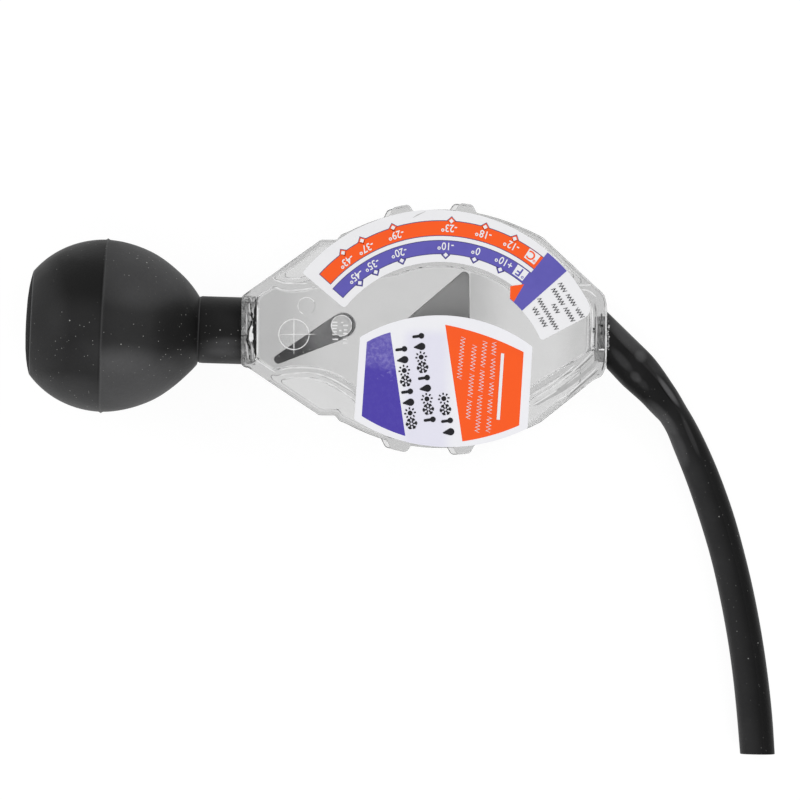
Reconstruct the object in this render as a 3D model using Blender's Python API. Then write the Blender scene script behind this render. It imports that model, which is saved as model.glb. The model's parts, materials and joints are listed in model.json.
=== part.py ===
"""Dial antifreeze tester, lying on a table with its dial up.

A rubber squeeze bulb is glued into one end of a flat, clear, two-shell body and a rubber hose into
the other. A pointer float and a level indicator swing on pins inside the body.
"""

import math

import bmesh
import bpy
import numpy as np
from mathutils import Vector

MM = 0.001

# Fits
GAP = 0.3 * MM  # between a piece and what seats, holds or faces it
OVERRUN = 1.0 * MM  # how far a cut runs past the face that it opens
LABEL_GAP = 0.1 * MM  # glue film under a label

# Body, which lies along X with its dial facing +Z and its mid-plane at z = 0
BODY_DEPTH = 24.5 * MM
PLATE = 1.8 * MM  # thickness of the front and rear plates
SKIRT = 1.6 * MM  # outer wall
CHAMBER_WALL = 1.6 * MM
RIM_CHAMFER = 0.4 * MM
BODY_LEFT = -54.9 * MM
BODY_RIGHT = 54.5 * MM
COLLAR_HALF = 11.5 * MM
COLLAR_LAND = 1.8 * MM
SHOULDER_X = -31.4 * MM
SHOULDER_HALF = 26.2 * MM
SHOULDER_LAND = 4.8 * MM
BOW_X = 4.5 * MM  # where the long curved edge is widest
BOW_HALF = 36.0 * MM
BOW_RADIUS = 58.8 * MM
BOW_END_X = 34.9 * MM
NOSE_X = 50.3 * MM
NOSE_HALF = 14.3 * MM
NOSE_DROP = 0.5 * MM
MOUTH_HALF = 9.5 * MM
MOUTH_DROP = 1.5 * MM
MOUTH_LAND = 1.1 * MM

# Weld tabs along the curved edges: the front shell's start later than the rear shell's
TAB_STARTS = (-12.9 * MM, 7.0 * MM)
TAB_LENGTHS = (9.0 * MM, 8.1 * MM)
TAB_HEIGHT = 1.9 * MM
TAB_SLOPE = 1.3 * MM
TAB_STAGGER = 1.7 * MM

# Pointer float: a thin vane round a hub, photographed a little to the right of upright
DIAL_X = 4.65 * MM
DIAL_Y = -16.35 * MM
POINTER_ANGLE = math.radians(77.8)
POINTER_LENGTH = 34.3 * MM
POINTER_TIP = 1.5 * MM
VANE_RIGHT = 8.85 * MM
VANE_LEFT = 12.0 * MM
VANE_SHOULDER = 17.8 * MM
VANE_SHOULDER_ROUND = 2.4 * MM
VANE_RIGHT_FOOT = 9.5 * MM
VANE_HEEL = math.radians(20.0)  # how far the vane's foot turns round the hub past level
VANE_THICKNESS = 2.4 * MM
HUB_RADIUS = 3.6 * MM
HUB_LENGTH = 9.6 * MM
HUB_FRONT = 5.6 * MM  # front face of the hub and of the vane
POINTER_PIN_RADIUS = 1.0 * MM
WEIGHT_RADIUS = 2.0 * MM
WEIGHT_RISE = 11.5 * MM
WEIGHT_SHIFT = 3.6 * MM

# Level indicator: a teardrop that hangs from its round head
LEVEL_X = -24.6 * MM
LEVEL_Y = 0.8 * MM
LEVEL_ANGLE = math.radians(208.2)
LEVEL_LENGTH = 21.9 * MM
LEVEL_HEAD = 3.9 * MM
LEVEL_TIP = 1.3 * MM
LEVEL_THICKNESS = 3.0 * MM
LEVEL_FRONT = 1.2 * MM
LEVEL_PIN_RADIUS = 0.8 * MM

# Bosses in the shells that hold the two pins
POINTER_BOSS = 3.2 * MM
LEVEL_BOSS = 3.05 * MM
PIN_SEAT = 3.5 * MM  # depth of the blind hole in each boss

# Chamber: a throat by the bulb, an arc that clears the pointer's tip, and a bowed floor
CHAMBER_LEFT = -50.6 * MM
CHAMBER_RIGHT = 49.6 * MM
THROAT_HALF = 9.2 * MM
THROAT_DROP = 0.5 * MM
BULGE_X = -44.2 * MM
BULGE_HALF = 12.6 * MM
WAIST_X = -37.8 * MM
WAIST_HALF = 11.5 * MM
FLARE_X = -30.6 * MM
FLARE_HALF = 12.9 * MM
TIP_CLEARANCE = 1.0 * MM
ARC_START = math.radians(112.0)
ARC_END = math.radians(52.0)
ROOF_RIGHT_X = 45.4 * MM
ROOF_RIGHT_Y = 12.0 * MM
ROOF_END_Y = 8.6 * MM
FLOOR_END_Y = -6.4 * MM
FLOOR_X = 5.0 * MM
FLOOR_Y = 3.0 * MM
FLOOR_RADIUS = 33.0 * MM
FLOOR_START = math.radians(-140.5)
FLOOR_END = math.radians(-40.3)
WING_LEFT = -44.4 * MM  # ends of the hollows between chamber and outer wall
WING_RIGHT = 44.6 * MM
WING_LEAST = 0.8 * MM

# Squeeze bulb: a body of revolution about X
BULB_X = -96.3 * MM  # widest place
BULB_RADIUS = 25.95 * MM
BULB_BACK = 27.3 * MM  # semi-axis toward the end
BULB_FRONT = 32.1 * MM  # semi-axis toward the neck
BULB_FRONT_SHARE = 1.8  # exponent of the oval toward the neck: 2 would be an ellipse
BULB_END_RADIUS = 15.5 * MM
BULB_FLAT_RADIUS = 11.0 * MM
BULB_END_DOME = 1.5 * MM
BULB_WALL = 2.6 * MM
NECK_RADIUS = 10.0 * MM
NECK_WAIST = 0.2 * MM
NECK_BORE = 6.4 * MM
NECK_END_RADIUS = 9.0 * MM  # the part glued into the collar tapers to this
BULB_SIDES = 48

# Collar at the bulb and mouth at the hose
COLLAR_BORE = 10.6 * MM
HOSE_RADIUS = 5.6 * MM
HOSE_SEAL_WALL = 0.6 * MM
HOSE_DROP = 2.6 * MM
HOSE_INSERT = 3.3 * MM
INLET_RADIUS = 3.6 * MM
SEAL_LEAST = 0.15 * MM

# Hose: free from the mouth to its cut end, settling onto the table. Route in plan, in millimetres
# from the body's own origin; the first two points lie on the mouth's axis.
HOSE_ROUTE = (
    (58.4, -3.9), (61.3, -7.0), (64.3, -11.3), (67.4, -15.9), (70.9, -20.8), (75.6, -27.2),
    (79.2, -33.4), (83.9, -44.5), (88.2, -56.5), (91.75, -68.4), (94.6, -80.4), (96.8, -92.4),
    (98.7, -104.4), (100.0, -116.4), (100.9, -126.5),
)
HOSE_STEP = 4.0 * MM
HOSE_SETTLES = 75.0 * MM  # length after which it lies flat
TABLE_CLEARANCE = 0.05 * MM

# Labels
LABEL_THICKNESS = 0.2 * MM
BAND_INNER = 36.3 * MM
BAND_OUTER = 51.9 * MM
BAND_START = math.radians(142.5)
BAND_END = math.radians(50.5)
FLAP_INNER = 32.7 * MM
FLAP_OUTER = 50.7 * MM
FLAP_END = math.radians(23.5)
FLAP_ROUND = 3.0 * MM
NAME_LEFT_TOP = -19.4 * MM
NAME_LEFT_LOW = -20.9 * MM
NAME_RIGHT_TOP = 32.1 * MM
NAME_RIGHT_LOW = 30.9 * MM
NAME_TOP_X = 4.6 * MM
NAME_TOP_Y = 4.0 * MM
NAME_TOP_RADIUS = 46.0 * MM
NAME_LOW_X = 6.8 * MM
NAME_LOW_Y = -35.3 * MM
NAME_LOW_RADIUS = 52.4 * MM

SHARP_FROM = math.radians(32)  # edges that turn more than this stay sharp
MOST_TILT = math.radians(30)
HALF_DEPTH = BODY_DEPTH / 2
SEAM = GAP / 2  # each shell stops this far from the mid-plane
INNER = HALF_DEPTH - PLATE  # inner face of each plate
FRONT, REAR = 1, -1
DIAL = np.array((DIAL_X, DIAL_Y))
LEVEL = np.array((LEVEL_X, LEVEL_Y))
TIP_REACH = POINTER_LENGTH + TIP_CLEARANCE
HOSE_BORE = HOSE_RADIUS + GAP + HOSE_SEAL_WALL + GAP


def clear_scene():
    for thing in list(bpy.data.objects):
        bpy.data.objects.remove(thing, do_unlink=True)


def material(name, colour, roughness, metallic=0.0, alpha=1.0):
    made = bpy.data.materials.new(name)
    made.use_nodes = True
    shader = made.node_tree.nodes["Principled BSDF"]
    shader.inputs["Base Color"].default_value = (*colour, 1.0)
    shader.inputs["Roughness"].default_value = roughness
    shader.inputs["Metallic"].default_value = metallic
    shader.inputs["Alpha"].default_value = alpha
    return made


def add_object(name, shape, parent, coat=None):
    """Turns a bmesh into a named object whose round faces are shaded smooth."""
    bmesh.ops.recalc_face_normals(shape, faces=shape.faces)
    mesh = bpy.data.meshes.new(name)
    shape.to_mesh(mesh)
    shape.free()
    mesh.shade_smooth()
    mesh.set_sharp_from_angle(angle=SHARP_FROM)
    made = bpy.data.objects.new(name, mesh)
    bpy.context.scene.collection.objects.link(made)
    made.parent = parent
    if coat is not None:
        mesh.materials.append(coat)
    return made


def lofted(rings):
    """A closed shape through rings of equally many points, with a flat cap at each end."""
    shape = bmesh.new()
    loops = [[shape.verts.new(point) for point in ring] for ring in rings]
    for low, high in zip(loops, loops[1:]):
        for here in range(len(low)):
            after = (here + 1) % len(low)
            shape.faces.new((low[here], low[after], high[after], high[here]))
    shape.faces.new(loops[0])
    shape.faces.new(loops[-1])
    return shape


def level_ring(outline, z):
    return [(x, y, z) for x, y in outline]


def prism(outline, low, high):
    return lofted([level_ring(outline, low), level_ring(outline, high)])


def turned(profile, sides, discs=False):
    """A profile of (x, radius) pairs turned about X: a closed ring, or with a disc at each end."""
    shape = bmesh.new()
    loops = []
    for angle in np.linspace(0, 2 * math.pi, sides, endpoint=False):
        loops.append(
            [shape.verts.new((x, r * math.cos(angle), r * math.sin(angle))) for x, r in profile]
        )
    spans = len(profile) - 1 if discs else len(profile)
    for here, after in zip(loops, loops[1:] + loops[:1]):
        for place in range(spans):
            follow = (place + 1) % len(profile)
            shape.faces.new((here[place], here[follow], after[follow], after[place]))
    if discs:
        shape.faces.new([loop[0] for loop in loops])
        shape.faces.new([loop[-1] for loop in loops])
    return shape


def circle(centre, radius, sides=32, start=0.0):
    angles = start + np.linspace(0, 2 * math.pi, sides, endpoint=False)
    return [(centre[0] + radius * math.cos(a), centre[1] + radius * math.sin(a)) for a in angles]


def arc(centre, radius, start, end, steps):
    return [
        (centre[0] + radius * math.cos(a), centre[1] + radius * math.sin(a))
        for a in np.linspace(start, end, steps + 1)
    ]


def rod_x(centre_y, radius, low, high, sides=40):
    """A rod along X from low to high."""
    ring = circle((centre_y, 0.0), radius, sides)
    return lofted([[(x, y, z) for y, z in ring] for x in (low, high)])


def cut(target, cutter, operation="DIFFERENCE"):
    cutter.hide_render = True
    cutter.display_type = "WIRE"
    step = target.modifiers.new(cutter.name, "BOOLEAN")
    step.operation = operation
    step.solver = "EXACT"
    step.object = cutter


def smooth_through(points, per_span):
    """A Catmull-Rom curve through points, with per_span steps between each pair."""
    points = np.array(points, dtype=float)
    first = 2 * points[0] - points[1]
    last = 2 * points[-1] - points[-2]
    ends = np.vstack((first, points, last))
    made = []
    for a, b, c, d in zip(ends, ends[1:], ends[2:], ends[3:]):
        for t in np.linspace(0, 1, per_span, endpoint=False):
            made.append(
                b + t * (c - a) / 2 + t**2 * (a - 5 * b / 2 + 2 * c - d / 2)
                + t**3 * (3 * b / 2 - a / 2 - 3 * c / 2 + d / 2)
            )
    made.append(points[-1])
    return [tuple(point) for point in made]


def offset_outline(outline, distance):
    """The outline moved outward by distance, or inward by a negative one; it runs clockwise."""
    points = np.array(outline)
    before = points - np.roll(points, 1, axis=0)
    after = np.roll(points, -1, axis=0) - points
    before /= np.linalg.norm(before, axis=1)[:, None]
    after /= np.linalg.norm(after, axis=1)[:, None]
    left_before = np.column_stack((-before[:, 1], before[:, 0]))
    left_after = np.column_stack((-after[:, 1], after[:, 0]))
    middle = left_before + left_after
    middle /= np.linalg.norm(middle, axis=1)[:, None]
    reach = distance / np.sum(middle * left_after, axis=1)
    return [tuple(point) for point in points + middle * reach[:, None]]


def bow(x):
    return BOW_HALF - BOW_RADIUS + math.sqrt(BOW_RADIUS**2 - (x - BOW_X) ** 2)


def weld_tabs(stagger):
    """Where each weld tab starts and ends along the body."""
    return [(start + stagger, start + length) for start, length in zip(TAB_STARTS, TAB_LENGTHS)]


def bow_edge(tabs):
    """The curved long edge from left to right, with the given weld tabs standing out of it."""
    bow_start = SHOULDER_X + SHOULDER_LAND + TAB_SLOPE
    edge = []
    for x in np.linspace(bow_start, BOW_END_X, 25):
        if not any(low - TAB_SLOPE / 2 < x < high + TAB_SLOPE / 2 for low, high in tabs):
            edge.append((x, bow(x)))
    for low, high in tabs:
        edge.append((low, bow(low)))
        edge.append((low + TAB_SLOPE, bow(low) + TAB_HEIGHT))
        edge.append((high - TAB_SLOPE, bow(high) + TAB_HEIGHT))
        edge.append((high, bow(high)))
    return sorted(edge)


def body_outline(tabs=()):
    """The whole body's edge, clockwise from its upper left corner."""
    upper = [
        (BODY_LEFT, COLLAR_HALF),
        (BODY_LEFT + COLLAR_LAND, COLLAR_HALF),
        (SHOULDER_X, SHOULDER_HALF),
        (SHOULDER_X + SHOULDER_LAND, SHOULDER_HALF),
        *bow_edge(tabs),
    ]
    lower = [(x, -y) for x, y in reversed(upper)]
    lip_half = (NOSE_HALF + MOUTH_HALF) / 2
    lip_drop = (NOSE_DROP + MOUTH_DROP) / 2
    nose = [
        (NOSE_X, NOSE_HALF - NOSE_DROP),
        (BODY_RIGHT - MOUTH_LAND, lip_half - lip_drop),
        (BODY_RIGHT, MOUTH_HALF - MOUTH_DROP),
        (BODY_RIGHT, -MOUTH_HALF - MOUTH_DROP),
        (BODY_RIGHT - MOUTH_LAND, -lip_half - lip_drop),
        (NOSE_X, -NOSE_HALF - NOSE_DROP),
    ]
    return upper + nose + lower


def chamber_roof():
    """The chamber's upper wall from the throat to the mouth."""
    throat = smooth_through(
        (
            (CHAMBER_LEFT - GAP, THROAT_HALF),
            (BULGE_X, BULGE_HALF - THROAT_DROP),
            (WAIST_X, WAIST_HALF - THROAT_DROP),
            (FLARE_X, FLARE_HALF - THROAT_DROP),
            arc(DIAL, TIP_REACH, ARC_START, ARC_START, 1)[0],
        ),
        4,
    )
    dial_arc = arc(DIAL, TIP_REACH, ARC_START, ARC_END, 14)[1:]
    return throat + dial_arc + [(ROOF_RIGHT_X, ROOF_RIGHT_Y), (CHAMBER_RIGHT, ROOF_END_Y)]


def chamber_floor():
    """The chamber's lower wall from the throat to the mouth."""
    centre = (FLOOR_X, FLOOR_Y)
    throat = smooth_through(
        (
            (CHAMBER_LEFT - GAP, -THROAT_HALF),
            (BULGE_X, -BULGE_HALF - THROAT_DROP),
            (WAIST_X, -WAIST_HALF - THROAT_DROP),
            (FLARE_X, -FLARE_HALF - THROAT_DROP),
            arc(centre, FLOOR_RADIUS, FLOOR_START, FLOOR_START, 1)[0],
        ),
        4,
    )
    bowed = arc(centre, FLOOR_RADIUS, FLOOR_START, FLOOR_END, 18)[1:]
    return throat + bowed + [(CHAMBER_RIGHT, FLOOR_END_Y)]


def chamber_outline():
    return chamber_roof() + list(reversed(chamber_floor()))


def height_at(line, xs):
    """Heights of an edge that runs from left to right, read at xs."""
    line = np.array(sorted(line))
    return np.interp(xs, line[:, 0], line[:, 1])


def wing_outline(side):
    """The hollow between the chamber's wall and the outer wall, above (+1) or below (-1)."""
    plain = offset_outline(body_outline(), -SKIRT)
    outer = [(x, y) for x, y in plain if y * side > 0 and x < NOSE_X]
    grown = offset_outline(chamber_outline(), CHAMBER_WALL)
    count = len(chamber_roof())
    inner = grown[:count] if side > 0 else grown[count:]
    xs = np.linspace(WING_LEFT, WING_RIGHT, 40)
    far = height_at(outer, xs)
    near = height_at(inner, xs)
    kept = [place for place in range(len(xs)) if (far[place] - near[place]) * side > WING_LEAST]
    first, last = kept[0], kept[-1] + 1
    there = [(xs[place], far[place]) for place in range(first, last)]
    back = [(xs[place], near[place]) for place in range(last - 1, first - 1, -1)]
    return there + back


def shell(name, side, coat, parent):
    """One half of the body: a plate with outer wall, chamber wall, pin bosses, collar and mouth."""
    outline = body_outline(weld_tabs(TAB_STAGGER if side == FRONT else 0.0))
    rim = offset_outline(outline, -RIM_CHAMFER)
    levels = [
        level_ring(outline, side * SEAM),
        level_ring(outline, side * (HALF_DEPTH - RIM_CHAMFER)),
        level_ring(rim, side * HALF_DEPTH),
    ]
    made = add_object(name, lofted(levels), parent, coat)
    open_side = -side * OVERRUN
    hollows = {
        "chamber": prism(chamber_outline(), open_side, side * INNER),
        "wing_above": prism(wing_outline(1), open_side, side * INNER),
        "wing_below": prism(wing_outline(-1), open_side, side * INNER),
    }
    for part, shape in hollows.items():
        cut(made, add_object(f"{name}_{part}", shape, parent))
    plate_middle = side * (INNER + PLATE / 2)
    for part, centre, radius, face, pin in boss_places(side):
        boss = prism(circle(centre, radius), side * face, plate_middle)
        cut(made, add_object(f"{name}_{part}_boss", boss, parent), "UNION")
        hole_end = face + PIN_SEAT
        hole = prism(circle(centre, pin + GAP, 24), side * (face - OVERRUN), side * hole_end)
        cut(made, add_object(f"{name}_{part}_hole", hole, parent))
    collar = rod_x(0.0, COLLAR_BORE, BODY_LEFT - OVERRUN, CHAMBER_LEFT)
    cut(made, add_object(f"{name}_collar", collar, parent))
    mouth = rod_x(-HOSE_DROP, HOSE_BORE, BODY_RIGHT - HOSE_INSERT - GAP, BODY_RIGHT + OVERRUN)
    cut(made, add_object(f"{name}_mouth", mouth, parent))
    inlet_start = CHAMBER_RIGHT - OVERRUN
    inlet = rod_x(-HOSE_DROP, INLET_RADIUS, inlet_start, BODY_RIGHT - HOSE_INSERT, 24)
    cut(made, add_object(f"{name}_inlet", inlet, parent))
    return made


def boss_places(side):
    """Name, centre, radius, inner face and pin radius of a shell's two bosses."""
    hub_rear = HUB_LENGTH - HUB_FRONT
    level_rear = LEVEL_THICKNESS - LEVEL_FRONT
    pointer_face = (HUB_FRONT if side == FRONT else hub_rear) + GAP
    level_face = (LEVEL_FRONT if side == FRONT else level_rear) + GAP
    return (
        ("pointer", DIAL, POINTER_BOSS, pointer_face, POINTER_PIN_RADIUS),
        ("level", LEVEL, LEVEL_BOSS, level_face, LEVEL_PIN_RADIUS),
    )


def pin(name, place, coat, parent):
    """A straight pin from one shell's boss to the other's, a gap short of each blind end."""
    front = boss_places(FRONT)[place]
    rear = boss_places(REAR)[place]
    centre, radius = front[1], front[4]
    high = front[3] + PIN_SEAT - GAP
    low = -(rear[3] + PIN_SEAT - GAP)
    return add_object(name, prism(circle(centre, radius, 24), low, high), parent, coat)


def tangent_outline(head, head_radius, tip, tip_radius, steps):
    """Two circles joined by their outer tangents."""
    line = np.array(tip) - np.array(head)
    length = np.linalg.norm(line)
    heading = math.atan2(line[1], line[0])
    lean = math.acos((head_radius - tip_radius) / length)
    head_arc = arc(head, head_radius, heading + lean, heading - lean + 2 * math.pi, steps)
    tip_arc = arc(tip, tip_radius, heading - lean, heading + lean, steps // 2)
    return head_arc + tip_arc


def level_indicator(coat, parent):
    tip = (LEVEL_LENGTH * math.cos(LEVEL_ANGLE), LEVEL_LENGTH * math.sin(LEVEL_ANGLE))
    drop = prism(
        tangent_outline((0.0, 0.0), LEVEL_HEAD, tip, LEVEL_TIP, 24),
        LEVEL_FRONT - LEVEL_THICKNESS,
        LEVEL_FRONT,
    )
    made = add_object("level_indicator", drop, parent, coat)
    made.location = (*LEVEL, 0.0)
    bore = prism(
        circle((0.0, 0.0), LEVEL_PIN_RADIUS + GAP, 24),
        LEVEL_FRONT - LEVEL_THICKNESS - OVERRUN,
        LEVEL_FRONT + OVERRUN,
    )
    hole = add_object("level_indicator_bore", bore, made)
    cut(made, hole)
    return made


def vane_outline():
    """The pointer's vane about its pivot: tip, straight right edge, foot on the hub, left shoulder."""
    reach = POINTER_LENGTH - POINTER_TIP
    tip = (reach * math.cos(POINTER_ANGLE), reach * math.sin(POINTER_ANGLE))
    shoulder = (-VANE_LEFT + VANE_SHOULDER_ROUND, VANE_SHOULDER - VANE_SHOULDER_ROUND)
    edge = np.array(tip) - np.array(shoulder)
    tilt = math.atan2(edge[1], edge[0]) + math.pi / 2
    right = VANE_RIGHT - tip[0]
    tip_arc = arc(tip, POINTER_TIP, tilt, math.acos(min(1.0, right / POINTER_TIP)), 6)
    shoulder_arc = arc(shoulder, VANE_SHOULDER_ROUND, math.pi + VANE_HEEL, tilt, 6)
    hub_arc = arc((0.0, 0.0), HUB_RADIUS - GAP, -VANE_HEEL, VANE_HEEL - math.pi, 10)
    return tip_arc + [(VANE_RIGHT, VANE_RIGHT_FOOT)] + hub_arc + shoulder_arc


def float_pointer(coat, parent):
    vane = prism(vane_outline(), HUB_FRONT - VANE_THICKNESS, HUB_FRONT)
    made = add_object("float_pointer", vane, parent, coat)
    made.location = (*DIAL, 0.0)
    hub_rear = HUB_FRONT - HUB_LENGTH
    hub = prism(circle((0.0, 0.0), HUB_RADIUS), hub_rear, HUB_FRONT)
    cut(made, add_object("float_pointer_hub", hub, made), "UNION")
    bore = prism(
        circle((0.0, 0.0), POINTER_PIN_RADIUS + GAP, 24), hub_rear - OVERRUN, HUB_FRONT + OVERRUN
    )
    cut(made, add_object("float_pointer_bore", bore, made))
    seat = prism(
        circle((WEIGHT_SHIFT, WEIGHT_RISE), WEIGHT_RADIUS + GAP, 28),
        HUB_FRONT - VANE_THICKNESS - OVERRUN,
        HUB_FRONT + OVERRUN,
    )
    cut(made, add_object("float_pointer_seat", seat, made))
    return made


def pointer_weight(coat, parent):
    disc = prism(
        circle((WEIGHT_SHIFT, WEIGHT_RISE), WEIGHT_RADIUS, 28), HUB_FRONT - VANE_THICKNESS, HUB_FRONT
    )
    made = add_object("pointer_weight", disc, parent, coat)
    made.location = (*DIAL, 0.0)
    return made


def bulb_round(wall, neck):
    """The bulb's profile this far inside its skin, from its end to where it meets the neck."""
    radius = BULB_RADIUS - wall
    end = math.sqrt(1 - ((BULB_END_RADIUS - wall) / radius) ** 2)
    power = BULB_FRONT_SHARE
    meets = (1 - (neck / radius) ** power) ** (1 / power)
    profile = []
    for angle in np.linspace(math.asin(end), 0, 12, endpoint=False):
        profile.append((BULB_X - (BULB_BACK - wall) * math.sin(angle), radius * math.cos(angle)))
    for turn in np.linspace(0, math.pi / 2, 15):
        along = meets * math.sin(turn)
        reach = (1 - along**power) ** (1 / power)
        profile.append((BULB_X + (BULB_FRONT - wall) * along, radius * reach))
    return profile


def squeeze_bulb(coat, parent):
    """A hollow bulb with a flat at its end and a neck whose bore opens into the body."""
    outside = bulb_round(0.0, NECK_RADIUS)
    inside = bulb_round(BULB_WALL, NECK_BORE)[::2]
    crease = outside[-1][0]
    end = CHAMBER_LEFT - GAP
    profile = [
        (outside[0][0] - BULB_END_DOME, BULB_FLAT_RADIUS),
        *outside,
        ((crease + BODY_LEFT) / 2, NECK_RADIUS - NECK_WAIST),
        (BODY_LEFT - GAP, NECK_RADIUS),
        (end, NECK_END_RADIUS),
        (end, NECK_BORE),
        *reversed(inside),
    ]
    return add_object("squeeze_bulb", turned(profile, BULB_SIDES, discs=True), parent, coat)


def bulb_seal(coat, parent):
    """Glue between the tapered neck and the collar's bore."""
    outer = COLLAR_BORE - GAP
    slope = (NECK_RADIUS - NECK_END_RADIUS) / (CHAMBER_LEFT - BODY_LEFT)
    end = CHAMBER_LEFT - GAP
    inner_end = NECK_END_RADIUS + GAP + slope * GAP
    start = end - (outer - SEAL_LEAST - inner_end) / slope
    start = max(start, BODY_LEFT)
    inner_start = inner_end + slope * (end - start)
    profile = [(start, inner_start), (start, outer), (end, outer), (end, inner_end)]
    return add_object("bulb_seal", turned(profile, 40), parent, coat)


def hose_seal(coat, parent):
    """Glue between the hose and the mouth's bore."""
    inner = HOSE_RADIUS + GAP
    outer = HOSE_BORE - GAP
    start = BODY_RIGHT - HOSE_INSERT
    profile = [(start, inner), (start, outer), (BODY_RIGHT, outer), (BODY_RIGHT, inner)]
    shape = turned(profile, 40)
    bmesh.ops.translate(shape, verts=shape.verts, vec=(0.0, -HOSE_DROP, 0.0))
    return add_object("hose_seal", shape, parent, coat)


def scale_label(coat, parent):
    band = arc(DIAL, BAND_OUTER, BAND_START, BAND_END, 30)
    turn = FLAP_ROUND / FLAP_OUTER
    flap_end = [
        *arc(DIAL, FLAP_OUTER, BAND_END, FLAP_END + turn, 7),
        *arc(DIAL, FLAP_OUTER - FLAP_ROUND, FLAP_END, FLAP_END, 1)[:1],
        *arc(DIAL, FLAP_INNER + FLAP_ROUND, FLAP_END, FLAP_END, 1)[:1],
        *arc(DIAL, FLAP_INNER, FLAP_END + turn, BAND_END, 6),
    ]
    inner = arc(DIAL, BAND_INNER, BAND_END, BAND_START, 26)
    return label("scale_label", band + flap_end + inner, coat, parent)


def name_label(coat, parent):
    top_centre = (NAME_TOP_X, NAME_TOP_Y - NAME_TOP_RADIUS)
    low_centre = (NAME_LOW_X, NAME_LOW_Y + NAME_LOW_RADIUS)
    starts = [
        math.acos((edge - NAME_TOP_X) / NAME_TOP_RADIUS) for edge in (NAME_LEFT_TOP, NAME_RIGHT_TOP)
    ]
    ends = [
        -math.acos((edge - NAME_LOW_X) / NAME_LOW_RADIUS) for edge in (NAME_RIGHT_LOW, NAME_LEFT_LOW)
    ]
    top = arc(top_centre, NAME_TOP_RADIUS, *starts, 16)
    low = arc(low_centre, NAME_LOW_RADIUS, *ends, 16)
    return label("name_label", top + low, coat, parent)


def label(name, outline, coat, parent):
    low = HALF_DEPTH + LABEL_GAP
    return add_object(name, prism(outline, low, low + LABEL_THICKNESS), parent, coat)


def world_points(things):
    """Corners of finished pieces in world space, each piece's modifiers applied."""
    bpy.context.view_layer.update()
    graph = bpy.context.evaluated_depsgraph_get()
    found = []
    for thing in things:
        finished = thing.evaluated_get(graph)
        mesh = finished.to_mesh()
        local = np.empty(len(mesh.vertices) * 3)
        mesh.vertices.foreach_get("co", local)
        finished.to_mesh_clear()
        turn = np.array(finished.matrix_world)
        found.append(local.reshape(-1, 3) @ turn[:3, :3].T + turn[:3, 3])
    return np.vstack(found)


def settle(tester, bulb, body, all_pieces):
    """Tilts the tester until bulb and body both touch the table, then centres it over the origin."""
    bulb_at = world_points([bulb])
    body_at = world_points([body])
    low, high = 0.0, MOST_TILT
    for _ in range(60):
        tilt = (low + high) / 2
        down = np.array((-math.sin(tilt), 0.0, math.cos(tilt)))
        if (bulb_at @ down).min() < (body_at @ down).min():
            low = tilt
        else:
            high = tilt
    tester.rotation_euler = (0.0, tilt, 0.0)
    points = world_points(all_pieces)
    middle = (points.min(axis=0) + points.max(axis=0)) / 2
    tester.location = (-middle[0], -middle[1], -points[:, 2].min())
    bpy.context.view_layer.update()
    return tilt


def hose_line(tester, tilt):
    """The hose's centre line in world space: out along the mouth's axis, then down onto the table."""
    place = tester.matrix_world
    start = [
        np.array(place @ Vector((x, -HOSE_DROP, 0.0)))
        for x in (BODY_RIGHT - HOSE_INSERT, BODY_RIGHT + GAP)
    ]
    across = np.array(tester.location)[:2]
    plan = [point[:2] for point in start] + [across + np.array(xy) * MM for xy in HOSE_ROUTE]
    curve = np.array(smooth_through(plan, 12))
    run = np.concatenate(([0.0], np.cumsum(np.linalg.norm(np.diff(curve, axis=0), axis=1))))
    steps = np.linspace(0.0, run[-1], round(run[-1] / HOSE_STEP) + 1)
    flat = np.column_stack([np.interp(steps, run, curve[:, axis]) for axis in (0, 1)])
    rest = HOSE_RADIUS + TABLE_CLEARANCE
    t = np.clip(steps / HOSE_SETTLES, 0.0, 1.0)
    fall = 2 * t**3 - 3 * t**2 + 1
    glide = (t**3 - 2 * t**2 + t) * HOSE_SETTLES * -math.tan(tilt)
    heights = rest + (start[0][2] - rest) * fall + glide
    return np.column_stack((flat, heights))


def hose(line, coat):
    curve = bpy.data.curves.new("hose", "CURVE")
    curve.dimensions = "3D"
    curve.bevel_depth = HOSE_RADIUS
    curve.bevel_resolution = 4
    curve.use_fill_caps = True
    spline = curve.splines.new("POLY")
    spline.points.add(len(line) - 1)
    for point, place in zip(spline.points, line):
        point.co = (*place, 1.0)
    curve.materials.append(coat)
    made = bpy.data.objects.new("hose", curve)
    bpy.context.scene.collection.objects.link(made)
    return made


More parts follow.
